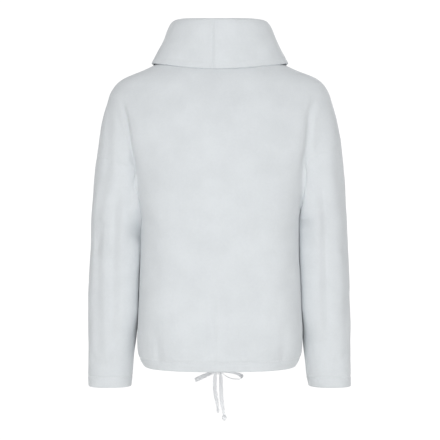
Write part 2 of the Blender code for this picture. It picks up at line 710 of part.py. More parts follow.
def makeKnot(name, place, halfSize, segments, material):
    mesh = bmesh.new()
    bmesh.ops.create_uvsphere(mesh, u_segments=segments, v_segments=segments // 2 + 1, radius=1)
    bmesh.ops.scale(mesh, vec=halfSize, verts=mesh.verts)
    bmesh.ops.translate(mesh, vec=place, verts=mesh.verts)
    return finishObject(name, mesh, material)


def makeDrawstring(material):
    makeKnot("bow_knot", knotPlace, knotHalfSize, bowKnotSegments, material)
    for side in ("left", "right"):
        makeTape("tape_lead_" + side, leadRoutes[side], leadPoints, (tapeWidth, leadKnotWidth), material)
        makeTape("bow_loop_" + side, loopRoutes[side], loopPoints, (tapeWidth, tapeWidth), material)
        makeTape("tape_tail_" + side, tailRoutes[side], tailPoints, (tapeWidth, tailEndWidth), material)
        lowest = Vector(tailRoutes[side][-1])
        endPlace = lowest - Vector((0, 0, endKnotHalfSize[side].z + endKnotGap))
        makeKnot("tape_end_" + side, endPlace, endKnotHalfSize[side], endKnotSegments, material)


for leftover in list(bpy.data.objects):
    bpy.data.objects.remove(leftover, do_unlink=True)

fleece = makeMaterial("fleece", fleeceColour, fleeceRoughness)
tape = makeMaterial("cotton_tape", tapeColour, tapeRoughness)
makePanel("back_panel", 1, fleece)
makePanel("front_panel", -1, fleece)
makeSleeve("sleeve_left", "left", fleece)
makeSleeve("sleeve_right", "right", fleece)
makeCollar("collar", fleece)
makeDrawstring(tape)
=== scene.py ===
# White fleece pullover seen from behind: dropped shoulders, a fold-over funnel collar and a hem drawn in
# by a flat cotton tape tied in a bow. The top is filled out as if worn, with its neck at standing height.

from math import atan, cos, pi, radians, sin, tau

import bpy
import numpy as np
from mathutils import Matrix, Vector, noise
from mathutils.bvhtree import BVHTree


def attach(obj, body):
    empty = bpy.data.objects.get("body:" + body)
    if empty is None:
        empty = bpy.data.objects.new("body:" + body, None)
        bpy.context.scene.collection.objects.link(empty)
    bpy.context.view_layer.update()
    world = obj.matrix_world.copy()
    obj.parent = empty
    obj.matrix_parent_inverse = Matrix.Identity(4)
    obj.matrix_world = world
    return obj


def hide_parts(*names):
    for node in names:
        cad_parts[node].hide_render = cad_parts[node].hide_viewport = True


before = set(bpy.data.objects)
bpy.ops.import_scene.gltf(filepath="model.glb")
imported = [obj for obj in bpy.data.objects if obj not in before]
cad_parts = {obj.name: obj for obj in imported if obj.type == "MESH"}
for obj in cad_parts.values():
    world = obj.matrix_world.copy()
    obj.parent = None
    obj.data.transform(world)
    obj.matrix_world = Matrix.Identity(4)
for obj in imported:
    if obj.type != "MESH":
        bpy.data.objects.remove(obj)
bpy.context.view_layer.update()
print("frame loaded")


def linearColour(code):
    # "#rrggbb" as seen on a screen, turned into the linear values that the shader takes
    channels = [int(code[i:i + 2], 16) / 255 for i in (1, 3, 5)]
    return tuple(c / 12.92 if c <= 0.04045 else ((c + 0.055) / 1.055) ** 2.4 for c in channels) + (1.0,)


# Camera, floor and light come first

viewDistance = 2.3
viewLevel = -0.329
viewWidth = 0.893  # width of the picture at the garment's middle

cameraData = bpy.data.cameras.new("camera")
cameraData.sensor_width = 36
cameraData.angle = 2 * atan(viewWidth / 2 / viewDistance)
camera = bpy.data.objects.new("camera", cameraData)
camera.location = (0, viewDistance, viewLevel)
camera.rotation_euler = (radians(90), 0, radians(180))
bpy.context.scene.collection.objects.link(camera)
bpy.context.scene.camera = camera
bpy.context.scene.view_settings.view_transform = "Standard"


def addNode(material, kind, settings, links):
    # One node with its settings, and the sockets of other nodes that feed its inputs
    node = material.node_tree.nodes.new(kind)
    for name, value in settings.items():
        if isinstance(name, str) and hasattr(node, name):
            setattr(node, name, value)
        else:
            node.inputs[name].default_value = value
    for name, source in links.items():
        material.node_tree.links.new(source, node.inputs[name])
    return node


def newMaterial(name):
    material = bpy.data.materials.new(name)
    material.use_nodes = True
    return material, material.node_tree.nodes["Principled BSDF"]


floorLook = {
    "colour": "#f4f4f2",  # matt studio floor paint
    "roughness": 0.85,
    "grain": 1 / 0.004,
    "level": -1.42,  # the neck of a person who stands is about this high
    "radius": 3.1,
}
floorPaint, floorShader = newMaterial("matt floor paint, rolled")
floorShader.inputs["Roughness"].default_value = floorLook["roughness"]
floorPlaces = addNode(floorPaint, "ShaderNodeTexCoord", {}, {})
floorGrain = addNode(floorPaint, "ShaderNodeTexNoise", {"Scale": floorLook["grain"], "Detail": 2.0},
                     {"Vector": floorPlaces.outputs["Object"]})
# The roller leaves a very fine orange peel that keeps the floor from looking like glass
floorBump = addNode(floorPaint, "ShaderNodeBump", {"Strength": 0.1, "Distance": 0.0003},
                    {"Height": floorGrain.outputs["Fac"]})
floorPaint.node_tree.links.new(floorBump.outputs["Normal"], floorShader.inputs["Normal"])
floorShader.inputs["Base Color"].default_value = linearColour(floorLook["colour"])
bpy.ops.mesh.primitive_circle_add(vertices=96, radius=floorLook["radius"], fill_type="NGON",
                                  location=(0, 0, floorLook["level"]))
floor = bpy.context.object
floor.name = "studio_floor"
floor.data.materials.append(floorPaint)

wallLook = {
    "glow": 1.05,  # a backlit white cloth, just at full white in the picture
    "place": -4.2,
    "width": 8.0,
    "top": 2.6,
    "foot": -2.2,
}
wallCloth, wallShader = newMaterial("backlit white screen cloth")
wallShader.inputs["Base Color"].default_value = linearColour("#000000")
wallShader.inputs["Roughness"].default_value = 1.0
wallShader.inputs["Emission Color"].default_value = linearColour("#ffffff")
wallShader.inputs["Emission Strength"].default_value = wallLook["glow"]
wallHeight = wallLook["top"] - wallLook["foot"]
bpy.ops.mesh.primitive_plane_add(size=1, location=(0, wallLook["place"], wallLook["foot"] + wallHeight / 2),
                                 rotation=(radians(90), 0, 0))
wall = bpy.context.object
wall.name = "studio_screen"
wall.scale = (wallLook["width"], wallHeight, 1)
wall.data.materials.append(wallCloth)

lamps = [
    # the large softbox behind the camera, a little to the left as seen there
    {"name": "softbox_front", "size": (2.2, 2.2), "place": (0.25, 3.6, -0.05), "watts": 44},
    # a weaker one on the other side keeps the right-hand crease open
    {"name": "softbox_side", "size": (1.6, 2.0), "place": (-2.4, 2.6, 0.1), "watts": 7},
    # a low one reaches under the hem to the bow
    {"name": "softbox_low", "size": (1.8, 0.8), "place": (0.2, 2.2, -1.25), "watts": 6},
    # overhead cloth that lights the shoulders and the top of the collar
    {"name": "softbox_top", "size": (2.4, 2.4), "place": (0.2, 1.4, 2.2), "watts": 9},
    # the wearer's front gets its own soft light
    {"name": "softbox_back", "size": (2.2, 2.2), "place": (-1.2, -3.0, 0.8), "watts": 40},
]
for lamp in lamps:
    lampData = bpy.data.lights.new(lamp["name"], "AREA")
    lampData.shape = "RECTANGLE"
    lampData.size, lampData.size_y = lamp["size"]
    lampData.energy = lamp["watts"]
    light = bpy.data.objects.new(lamp["name"], lampData)
    light.location = lamp["place"]
    towards = Vector((0, 0, viewLevel)) - Vector(lamp["place"])
    light.rotation_euler = towards.to_track_quat("-Z", "Y").to_euler()
    bpy.context.scene.collection.objects.link(light)

world = bpy.data.worlds.new("pale studio air")
bpy.context.scene.world = world
world.use_nodes = True
world.node_tree.nodes["Background"].inputs["Color"].default_value = linearColour("#ffffff")
world.node_tree.nodes["Background"].inputs["Strength"].default_value = 0.50
print("camera, floor and light ready")

# The garment's measures, in metres. Outwards along X is counted from the middle on either side.

clothThickness = 0.003
collarThickness = 0.004
hemThickness = 0.0055
hemTurnUp = 0.019
cuffTurnUp = 0.022
hemLevel = -0.6235
cuffLevel = -0.6676
underarmLevel = -0.333
neckHalfWidth = 0.0935
backNeckDrop = 0.020
frontNeckDrop = 0.085
armSquareness = 2.15

# The grid's coarse steps, which the fine rows and columns below are counted in
neckColumns = 8
shoulderColumns = 9
creaseRows = 5
overArmRows = 6

seamTurn = {"left": -0.225, "right": -0.208}
seamTop = {"left": -0.192, "right": -0.168}

torsoColumns = ("level", "half_width", "back", "front", "squareness")
torsoTable = (
    (0.0100, 0.0600, 0.0300, 0.0300, 2.0),
    (0.0000, 0.0935, 0.0460, 0.0500, 2.0),
    (-0.0100, 0.1160, 0.0560, 0.0620, 2.0),
    (-0.0244, 0.1475, 0.0660, 0.0760, 2.1),
    (-0.0450, 0.1900, 0.0800, 0.0900, 2.2),
    (-0.0610, 0.2045, 0.0880, 0.0990, 2.2),
    (-0.0800, 0.2095, 0.0950, 0.1080, 2.3),
    (-0.1100, 0.2070, 0.1060, 0.1190, 2.4),
    (-0.1500, 0.1970, 0.1150, 0.1300, 2.5),
    (-0.2100, 0.1830, 0.1210, 0.1400, 2.5),
    (-0.2600, 0.1720, 0.1230, 0.1400, 2.5),
    (-0.3000, 0.1650, 0.1235, 0.1370, 2.5),
    (-0.3330, 0.1605, 0.1235, 0.1340, 2.5),
    (-0.3700, 0.1605, 0.1230, 0.1310, 2.5),
    (-0.4500, 0.1625, 0.1230, 0.1270, 2.5),
    (-0.5000, 0.1645, 0.1235, 0.1260, 2.5),
    (-0.5640, 0.1668, 0.1240, 0.1265, 2.5),
    (-0.5900, 0.1660, 0.1230, 0.1260, 2.5),
    (-0.6090, 0.1610, 0.1190, 0.1220, 2.5),
    (-0.6235, 0.1530, 0.1150, 0.1180, 2.5),
)

# Each arm: outer edge, half width, depth behind and in front, forward lean, softness into the body
armColumns = ("level", "outer", "half_width", "back", "front", "forward", "softness")
armTables = {
    "left": (
        (0.0100, 0.0600, 0.0200, 0.0100, 0.0100, 0.000, 0.040),
        (-0.0244, 0.1300, 0.0250, 0.0150, 0.0150, 0.000, 0.040),
        (-0.0450, 0.1860, 0.0360, 0.0230, 0.0230, 0.000, 0.040),
        (-0.0610, 0.2070, 0.0440, 0.0340, 0.0340, 0.000, 0.036),
        (-0.0770, 0.2205, 0.0480, 0.0430, 0.0430, 0.000, 0.030),
        (-0.1100, 0.2335, 0.0510, 0.0520, 0.0520, 0.000, 0.020),
        (-0.1420, 0.2410, 0.0530, 0.0570, 0.0580, 0.000, 0.014),
        (-0.1910, 0.2476, 0.0530, 0.0610, 0.0630, 0.000, 0.011),
        (-0.2400, 0.2537, 0.0525, 0.0630, 0.0650, 0.000, 0.008),
        (-0.3050, 0.2600, 0.0510, 0.0640, 0.0660, 0.000, 0.004),
        (-0.3330, 0.2612, 0.0503, 0.0630, 0.0650, 0.000, 0.002),
        (-0.3700, 0.2625, 0.0501, 0.0610, 0.0630, 0.001, 0.002),
        (-0.4500, 0.2660, 0.0508, 0.0560, 0.0580, 0.004, 0.002),
        (-0.5000, 0.2680, 0.0508, 0.0530, 0.0550, 0.007, 0.002),
        (-0.5640, 0.2680, 0.0487, 0.0470, 0.0480, 0.010, 0.002),
        (-0.6136, 0.2680, 0.0457, 0.0400, 0.0410, 0.012, 0.002),
        (-0.6460, 0.2680, 0.0447, 0.0360, 0.0370, 0.013, 0.002),
        (-0.6676, 0.2676, 0.0434, 0.0340, 0.0350, 0.014, 0.002),
    ),
    "right": (
        (0.0100, 0.0600, 0.0200, 0.0100, 0.0100, 0.000, 0.045),
        (-0.0244, 0.1280, 0.0250, 0.0150, 0.0150, 0.000, 0.045),
        (-0.0450, 0.1820, 0.0360, 0.0230, 0.0230, 0.000, 0.045),
        (-0.0610, 0.2020, 0.0440, 0.0350, 0.0350, 0.000, 0.042),
        (-0.0770, 0.2160, 0.0480, 0.0440, 0.0440, 0.000, 0.036),
        (-0.1100, 0.2320, 0.0520, 0.0530, 0.0530, 0.000, 0.028),
        (-0.1420, 0.2395, 0.0540, 0.0580, 0.0590, 0.000, 0.024),
        (-0.1910, 0.2476, 0.0530, 0.0620, 0.0640, 0.000, 0.020),
        (-0.2400, 0.2520, 0.0510, 0.0640, 0.0660, 0.000, 0.015),
        (-0.3050, 0.2560, 0.0480, 0.0640, 0.0660, 0.000, 0.008),
        (-0.3330, 0.2575, 0.0467, 0.0630, 0.0650, 0.000, 0.005),
        (-0.3700, 0.2590, 0.0478, 0.0610, 0.0630, 0.001, 0.003),
        (-0.4500, 0.2625, 0.0489, 0.0560, 0.0580, 0.004, 0.002),
        (-0.5000, 0.2640, 0.0487, 0.0530, 0.0550, 0.007, 0.002),
        (-0.5640, 0.2660, 0.0484, 0.0470, 0.0480, 0.010, 0.002),
        (-0.6136, 0.2660, 0.0462, 0.0400, 0.0410, 0.012, 0.002),
        (-0.6460, 0.2665, 0.0449, 0.0360, 0.0370, 0.013, 0.002),
        (-0.6676, 0.2674, 0.0431, 0.0340, 0.0350, 0.014, 0.002),
    ),
}

# Broad folds: troughs that run down the cloth
foldColumns = ("side", "face", "top", "bottom", "x_top", "x_bottom", "width", "depth")
foldTable = (
    ("left", "back", -0.085, -0.270, 0.2210, 0.2215, 0.009, 0.0030),
    ("left", "back", -0.330, -0.640, 0.2430, 0.2395, 0.010, 0.0024),
    ("left", "front", -0.120, -0.300, 0.2150, 0.2230, 0.011, 0.0028),
    ("left", "front", -0.380, -0.600, 0.2050, 0.2100, 0.012, 0.0022),
    ("right", "back", -0.150, -0.330, 0.2330, 0.2380, 0.010, 0.0020),
    ("right", "front", -0.110, -0.290, 0.2120, 0.2200, 0.011, 0.0026),
    ("right", "front", -0.350, -0.590, 0.2350, 0.2300, 0.012, 0.0022),
    ("left", "back", -0.450, -0.640, 0.0150, 0.0150, 0.014, 0.0016),
    ("left", "front", -0.300, -0.600, 0.0900, 0.0700, 0.020, 0.0030),
    ("right", "front", -0.260, -0.560, 0.0950, 0.0780, 0.022, 0.0034),
    ("left", "front", -0.120, -0.300, 0.1150, 0.0800, 0.018, 0.0026),
)

def curveThrough(places, values):
    # A smooth curve through the rows of a table that never overshoots between two rows
    order = np.argsort(places)
    xs = np.asarray(places, float)[order]
    ys = np.asarray(values, float)[order]
    steps = np.diff(xs)
    rises = np.diff(ys) / steps
    product = rises[:-1] * rises[1:]
    total = rises[:-1] + rises[1:]
    slopes = np.empty_like(ys)
    slopes[1:-1] = np.where(product > 0, 2 * product / np.where(product > 0, total, 1), 0)
    slopes[0] = rises[0]
    slopes[-1] = rises[-1]

    def at(x):
        x = np.clip(x, xs[0], xs[-1])
        i = np.clip(np.searchsorted(xs, x, side="right") - 1, 0, len(xs) - 2)
        t = (x - xs[i]) / steps[i]
        rise = ys[i + 1] - ys[i]
        bend = slopes[i] * steps[i]
        bendNext = slopes[i + 1] * steps[i]
        return ys[i] + t * (bend + t * (3 * rise - 2 * bend - bendNext + t * (bend + bendNext - 2 * rise)))

    return at


def readTable(columns, rows):
    # One smooth curve over the level for each named column
    levels = [row[0] for row in rows]
    return {name: curveThrough(levels, [row[i] for row in rows]) for i, name in enumerate(columns) if i}


torso = readTable(torsoColumns, torsoTable)
arms = {side: readTable(armColumns, rows) for side, rows in armTables.items()}
folds = [dict(zip(foldColumns, row)) for row in foldTable]


def outlineGap(x, y, halfX, halfY, squareness):
    # How far a point lies outside a rounded outline, along the line from its middle
    reach = ((np.abs(x) / halfX) ** squareness + (np.abs(y) / halfY) ** squareness) ** (1 / squareness)
    radius = np.hypot(x, y)
    reach = np.maximum(reach, 1e-6)
    return np.where(radius < 1e-7, -np.minimum(halfX, halfY), radius * (1 - 1 / reach))


def bodyGap(x, y, z):
    depth = np.where(y > 0, torso["back"](z), torso["front"](z))
    return outlineGap(x, y, torso["half_width"](z), depth, torso["squareness"](z))


def armGap(side, x, y, z):
    arm = arms[side]
    halfWidth = arm["half_width"](z)
    acrossArm = x - (arm["outer"](z) - halfWidth)
    behind = y + arm["forward"](z)
    depth = np.where(behind > 0, arm["back"](z), arm["front"](z))
    return outlineGap(acrossArm, behind, halfWidth, depth, armSquareness)


def foldHollow(side, x, y, z):
    hollow = np.zeros(np.broadcast(x, y, z).shape)
    for fold in folds:
        if fold["side"] != side:
            continue
        along = np.clip((fold["top"] - z) / (fold["top"] - fold["bottom"]), 0, 1)
        place = fold["x_top"] + (fold["x_bottom"] - fold["x_top"]) * along
        facing = np.clip((y if fold["face"] == "back" else -y) / 0.03, 0, 1)
        across = np.exp(-((x - place) / fold["width"]) ** 2)
        hollow = hollow + fold["depth"] * facing * across * np.sin(pi * along) ** 0.7
    return hollow


def clothField(side, x, y, z, part="whole"):
    # Below zero inside the garment and above zero outside it, with x measured outwards on either side
    arm = armGap(side, x, y, z)
    if part == "arm":
        return arm + foldHollow(side, x, y, z)
    body = bodyGap(x, y, z)
    soft = arms[side]["softness"](z)
    near = np.maximum(soft - np.abs(body - arm), 0) / soft
    return np.minimum(body, arm) - near * near * soft / 4 + foldHollow(side, x, y, z)


def findZero(value, low, high, turns=38):
    # The place between low, inside the garment, and high, outside it, where the cloth lies
    low = np.array(low, float)
    high = np.array(high, float)
    for turn in range(turns):
        middle = (low + high) / 2
        inside = value(middle) < 0
        low = np.where(inside, middle, low)
        high = np.where(inside, high, middle)
    return (low + high) / 2


def clothNormal(side, points, part="whole"):
    step = 0.0005
    slopes = []
    for axis in range(3):
        ahead = points.copy()
        behind = points.copy()
        ahead[..., axis] += step
        behind[..., axis] -= step
        rise = clothField(side, *np.moveaxis(ahead, -1, 0), part)
        slopes.append(rise - clothField(side, *np.moveaxis(behind, -1, 0), part))
    normal = np.stack(slopes, -1)
    return normal / np.linalg.norm(normal, axis=-1, keepdims=True)


def edgeX(side, z):
    # The garment's outer edge at a level, seen from behind
    low = np.full(np.shape(z), 0.05)
    high = np.full(np.shape(z), 0.34)
    return findZero(lambda x: clothField(side, x, 0.0 * x, z), low, high)


def clothDepth(side, facing, x, z):
    # How far the cloth stands behind or in front of the shoulder line
    nearest = np.zeros(np.shape(x))
    farthest = np.full(np.shape(x), 0.25)
    return findZero(lambda y: clothField(side, x, facing * y, z), nearest, farthest)


def underarmPoint(side):
    arm = arms[side]
    inner = arm["outer"](underarmLevel) - 2 * arm["half_width"](underarmLevel)
    x = (torso["half_width"](underarmLevel) + inner) / 2
    level = findZero(lambda z: -clothField(side, np.array(x), np.array(0.0), z), -0.42, -0.25)
    return float(x), float(level)


def creasePoint(side, facing, z):
    # The bottom of the crease between body and sleeve at each level
    arm = arms[side]
    outermost = arm["outer"](z) - arm["half_width"](z)

    def onArm(x):
        y = facing * clothDepth(side, facing, x, z)
        return bodyGap(x, y, z) - armGap(side, x, y, z)

    return findZero(onArm, torso["half_width"](z) * 0.75, outermost)


def seamAroundArm(side, facing):
    # The sleeve seam seen from behind, at the fine rows: up the crease from the underarm, then over
    # the arm to the shoulder
    xUnder, zUnder = underarmPoint(side)
    turn, top = seamTurn[side], seamTop[side]
    up = armSteps[armSteps <= creaseRows]
    z = zUnder + (turn - zUnder) * (up / creaseRows) ** 1.5
    x = creasePoint(side, facing, z)
    x = xUnder + (x - xUnder) * np.clip(up / 0.4, 0, 1)
    over = (armSteps[armSteps > creaseRows] - creaseRows) / overArmRows
    across = np.sin(pi / 2 * over)
    rise = 1 - np.cos(pi / 2 * over)
    xTop = float(edgeX(side, np.array(top)))
    overX = x[-1] + (xTop - x[-1]) * across
    overZ = turn + (top - turn) * (0.55 * across + 0.45 * rise)
    return np.column_stack([np.concatenate([x, overX]), np.concatenate([z, overZ])])


# Fine rows and columns, about 3 mm apart and closer together at seams, hems and stitch lines
hemHeights = np.concatenate([
    [0, 0.0004, 0.0011, 0.0020, 0.0032, 0.0048],
    np.arange(0.0070, 0.0140, 0.0024),
    np.arange(0.0148, 0.0225, 0.0009),
    np.arange(0.0240, 0.0500, 0.0026),
])
armSteps = np.concatenate([np.linspace(0, 5, 46), np.linspace(5, 10.86, 54)[1:], [10.93, 10.97, 11]])
columnSteps = np.concatenate([np.linspace(0, 8, 33), np.linspace(8, 16.6, 59)[1:], [16.76, 16.87, 16.95, 17]])
armSeams = {(side, facing): seamAroundArm(side, facing) for side in ("left", "right") for facing in (1, -1)}


def neckTurn(steps):
    # Angles of the neck's columns, from the middle to the neck point of the shoulder
    share = steps / neckColumns
    return np.arcsin(np.minimum(0.65 * np.sin(pi / 2 * share) + 0.35 * share, 1))


def topEdge(side, facing):
    # Half of the panel's top: the neck line, then down the shoulder seam to the top of the sleeve seam
    turn = neckTurn(columnSteps[columnSteps <= neckColumns])
    drop = backNeckDrop if facing > 0 else frontNeckDrop
    neck = np.column_stack([neckHalfWidth * np.sin(turn), -drop * np.cos(turn) ** 2])
    levels = seamTop[side] * np.linspace(0, 1, 400) ** 2
    line = np.column_stack([edgeX(side, levels), levels])
    line[0, 0] = neckHalfWidth
    length = np.concatenate([[0], np.cumsum(np.hypot(*np.diff(line, axis=0).T))])
    wanted = length[-1] * (columnSteps[columnSteps > neckColumns] - neckColumns) / shoulderColumns
    shoulder = np.column_stack([np.interp(wanted, length, line[:, i]) for i in (0, 1)])
    return np.vstack([neck, shoulder])


def hemShares():
    # Shares of the half width that lie evenly round the hem
    square = float(torso["squareness"](hemLevel))
    turn = np.linspace(0, pi / 2, 1200)
    x = float(torso["half_width"](hemLevel)) * np.sin(turn) ** (2 / square)
    y = float(torso["back"](hemLevel)) * np.cos(turn) ** (2 / square)
    length = np.concatenate([[0], np.cumsum(np.hypot(np.diff(x), np.diff(y)))])
    return np.interp(length[-1] * columnSteps / columnSteps[-1], length, x) / x[-1]


def smoothPath(points, count):
    # Points spread evenly along a smooth curve through a path's own points
    points = np.asarray(points, float)
    ends = np.vstack([2 * points[0] - points[1], points, 2 * points[-1] - points[-2]])
    t = np.linspace(0, 1, 16, endpoint=False)[:, None]
    fine = []
    for a, b, c, d in zip(ends, ends[1:], ends[2:], ends[3:]):
        bend = 2 * a - 5 * b + 4 * c - d
        twist = 3 * b - a - 3 * c + d
        fine.append((2 * b + (c - a) * t + bend * t * t + twist * t ** 3) / 2)
    fine = np.vstack(fine + [points[-1:]])
    length = np.concatenate([[0], np.cumsum(np.linalg.norm(np.diff(fine, axis=0), axis=1))])
    wanted = np.linspace(0, length[-1], count)
    return np.column_stack([np.interp(wanted, length, fine[:, i]) for i in range(fine.shape[1])])


def creaseRelief(a, b, creases):
    # Soft troughs, or ridges where the depth is below zero, along paths in a surface's own two measures
    relief = np.zeros(np.shape(a))
    for crease in creases:
        path = smoothPath(crease["path"], 22)
        best = np.full(np.shape(a), 1e9)
        where = np.zeros(np.shape(a))
        for i, (p, q) in enumerate(zip(path, path[1:])):
            way = q - p
            t = np.clip(((a - p[0]) * way[0] + (b - p[1]) * way[1]) / (way @ way), 0, 1)
            gap = np.hypot(a - p[0] - t * way[0], b - p[1] - t * way[1])
            nearer = gap < best
            best = np.where(nearer, gap, best)
            where = np.where(nearer, (i + t) / (len(path) - 1), where)
        width = crease["width"][0] + (crease["width"][1] - crease["width"][0]) * where
        depth = crease["depth"][0] + (crease["depth"][1] - crease["depth"][0]) * where
        fade = np.clip(np.minimum(where, 1 - where) * 5, 0, 1)
        fade = 0.15 + 0.85 * fade * fade * (3 - 2 * fade)
        relief -= depth * np.exp(-(best / width) ** 2) * fade
    return relief


def unevenness(points, sizes):
    # The cloth's own soft unevenness: each size is a wave length and a height
    flat = points.reshape(-1, 3)
    out = np.zeros(len(flat))
    for length, height in sizes:
        shift = Vector((3.1, 1.7, 5.3)) * length
        out += height * np.array([noise.noise((Vector(p) + shift) / length) for p in flat])
    return out.reshape(points.shape[:-1])


def distanceAlong(points, axis, end):
    # The distance of each point from one end of its row or column
    steps = np.linalg.norm(np.diff(points, axis=axis), axis=-1)
    zero = np.zeros_like(np.take(steps, [0], axis=axis))
    length = np.cumsum(np.concatenate([zero, steps], axis=axis), axis=axis)
    if end == "first":
        return length
    return np.take(length, [-1], axis=axis) - length


def distanceTo(points, ring):
    # The distance of each point from a closed line of points
    closed = np.vstack([ring, ring[:1]])
    steps = np.linspace(0, len(ring), 4 * len(ring), endpoint=False)
    fine = np.column_stack([np.interp(steps, np.arange(len(closed)), closed[:, i]) for i in range(3)])
    rows = [np.linalg.norm(row[:, None] - fine[None], axis=2).min(axis=1) for row in points]
    return np.array(rows)


def roundedHalf(distance, thickness, least):
    # Half the cloth's thickness near an edge that is rolled over, from least of it at the edge itself
    radius = thickness / 2
    t = np.clip(1 - distance / radius, 0, 1)
    return radius * (least + (1 - least) * np.sqrt(np.maximum(1 - t * t, 0)))


seamRidge = {"height": 0.0004, "place": 0.0036, "width": 0.0028}


def seamShape(distance):
    # A low ridge beside each seam, where the cloth lies over its own turned-in edge
    return seamRidge["height"] * np.exp(-((distance - seamRidge["place"]) / seamRidge["width"]) ** 2)


def creaseShare():
    # How much of the crease there is at each row of the sleeve seam: all below, none over the arm
    share = np.clip((creaseRows - armSteps) / 1.3, 0, 1)
    return share * share * (3 - 2 * share) * np.clip(armSteps / 0.8, 0.3, 1)


def creaseShape(side, distance):
    # The cloth bridges the hollow between body and arm and sinks in a groove along the seam
    look = seamSink[side]
    bridge = look["fill"] * np.exp(-(distance / bridgeWidth) ** 2)
    return bridge - look["depth"] * np.exp(-(distance / look["width"]) ** 2)


bridgeWidth = 0.020
seamSink = {
    "left": {"depth": 0.0072, "width": 0.0040, "fill": 0.0120},
    "right": {"depth": 0.0070, "width": 0.0072, "fill": 0.0120},
}


def stitchShape(height, lines, depth=0.0007):
    # The shallow furrow that a row of stitches pulls into the cloth
    relief = np.zeros(np.shape(height))
    for line in lines:
        relief -= depth * np.exp(-((height - line) / 0.0011) ** 2)
    return relief


def foldedThickness(height, turnUp):
    # The cloth is double where its edge is turned up
    step = np.clip((turnUp + 0.0010 - height) / 0.0028, 0, 1)
    return clothThickness + (hemThickness - clothThickness) * step * step * (3 - 2 * step)


def mirrored(points, side):
    return points * np.array([1 if side == "left" else -1, 1, 1])


def clothShell(name, outer, inner, wrapped, material):
    # A closed wall between two grids of points, with its edges joined
    rows, columns = outer.shape[:2]
    total = rows * columns
    index = np.arange(total).reshape(rows, columns)
    if wrapped:
        index = np.hstack([index, index[:, :1]])
    faces = np.stack([index[:-1, :-1], index[:-1, 1:], index[1:, 1:], index[1:, :-1]], -1).reshape(-1, 4)
    parts = [faces, faces[:, ::-1] + total]
    for r, turn in ((0, 1), (rows - 1, -1)):
        edge = np.stack([index[r, 1:], index[r, :-1], index[r, :-1] + total, index[r, 1:] + total], -1)
        parts.append(edge[:, ::turn])
    if not wrapped:
        for c, turn in ((0, 1), (columns - 1, -1)):
            edge = np.stack([index[:-1, c], index[1:, c], index[1:, c] + total, index[:-1, c] + total], -1)
            parts.append(edge[:, ::turn])
    points = np.concatenate([outer.reshape(-1, 3), inner.reshape(-1, 3)])
    middle = points[faces[:, 0]].mean(0)
    normal = np.cross(points[faces[:, 1]] - points[faces[:, 0]], points[faces[:, 3]] - points[faces[:, 0]])
    away = np.sum(normal * (points[faces[:, 0]] - middle)) > 0
    quads = np.concatenate(parts)
    if not away:
        quads = quads[:, ::-1]
    data = bpy.data.meshes.new(name)
    data.from_pydata(points.tolist(), [], quads.tolist())
    data.update()
    data.materials.append(material)
    data.shade_smooth()
    data.set_sharp_from_angle(angle=radians(60))
    piece = bpy.data.objects.new(name, data)
    bpy.context.scene.collection.objects.link(piece)
    return piece


def showAs(piece, nodes):
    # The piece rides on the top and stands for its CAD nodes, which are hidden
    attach(piece, "root")
    if nodes:
        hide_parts(*nodes)
    return piece


# Fleece: a knitted cotton back with a brushed, slightly pilled face

fleece, fleeceShader = newMaterial("cotton fleece, brushed face")
fleeceLook = {
    "colour": "#dadee1",
    "shaded_colour": "#d4d8db",  # where the nap lies the other way
    "roughness": 0.93,
    "sheen": 0.18,
    "nap": 1 / 0.0011,  # single tufts, 1.1 mm
    "clump": 1 / 0.0042,  # tufts that cling together
    "cloud": 1 / 0.045,  # patches that a hand has brushed one way
    "height": 0.00042,
}
fleecePlaces = addNode(fleece, "ShaderNodeTexCoord", {}, {})
fleeceNap = addNode(fleece, "ShaderNodeTexNoise",
                    {"Scale": fleeceLook["nap"], "Detail": 3.0, "Roughness": 0.62},
                    {"Vector": fleecePlaces.outputs["Object"]})
fleeceClump = addNode(fleece, "ShaderNodeTexNoise",
                      {"Scale": fleeceLook["clump"], "Detail": 2.0, "Distortion": 0.6},
                      {"Vector": fleecePlaces.outputs["Object"]})
fleeceCloud = addNode(fleece, "ShaderNodeTexNoise", {"Scale": fleeceLook["cloud"], "Detail": 3.0},
                      {"Vector": fleecePlaces.outputs["Object"]})
# The height of tufts on clumps gives a soft, dry edge to the light on every fold
fleeceHeight = addNode(fleece, "ShaderNodeMath", {"operation": "MULTIPLY_ADD", 1: 0.55},
                       {0: fleeceClump.outputs["Fac"], 2: fleeceNap.outputs["Fac"]})
fleeceBump = addNode(fleece, "ShaderNodeBump", {"Strength": 0.55, "Distance": fleeceLook["height"]},
                     {"Height": fleeceHeight.outputs["Value"]})
# Brushed patches and clumps differ a little in tone, so that the white isn't one flat value
fleeceTone = addNode(fleece, "ShaderNodeMath", {"operation": "MULTIPLY_ADD", 1: 0.45},
                     {0: fleeceClump.outputs["Fac"], 2: fleeceCloud.outputs["Fac"]})
fleeceRamp = addNode(fleece, "ShaderNodeMapRange", {"From Min": 0.5, "From Max": 0.95},
                     {"Value": fleeceTone.outputs["Value"]})
fleeceColour = addNode(fleece, "ShaderNodeMix", {"data_type": "RGBA"},
                       {"Factor": fleeceRamp.outputs["Result"]})
fleeceColour.inputs[6].default_value = linearColour(fleeceLook["shaded_colour"])
fleeceColour.inputs[7].default_value = linearColour(fleeceLook["colour"])
fleece.node_tree.links.new(fleeceColour.outputs[2], fleeceShader.inputs["Base Color"])
fleece.node_tree.links.new(fleeceBump.outputs["Normal"], fleeceShader.inputs["Normal"])
fleeceShader.inputs["Roughness"].default_value = fleeceLook["roughness"]
fleeceShader.inputs["Sheen Weight"].default_value = fleeceLook["sheen"]
fleeceShader.inputs["Sheen Roughness"].default_value = 0.6
fleeceShader.inputs["Specular IOR Level"].default_value = 0.2
print("fleece ready")

# Body panels

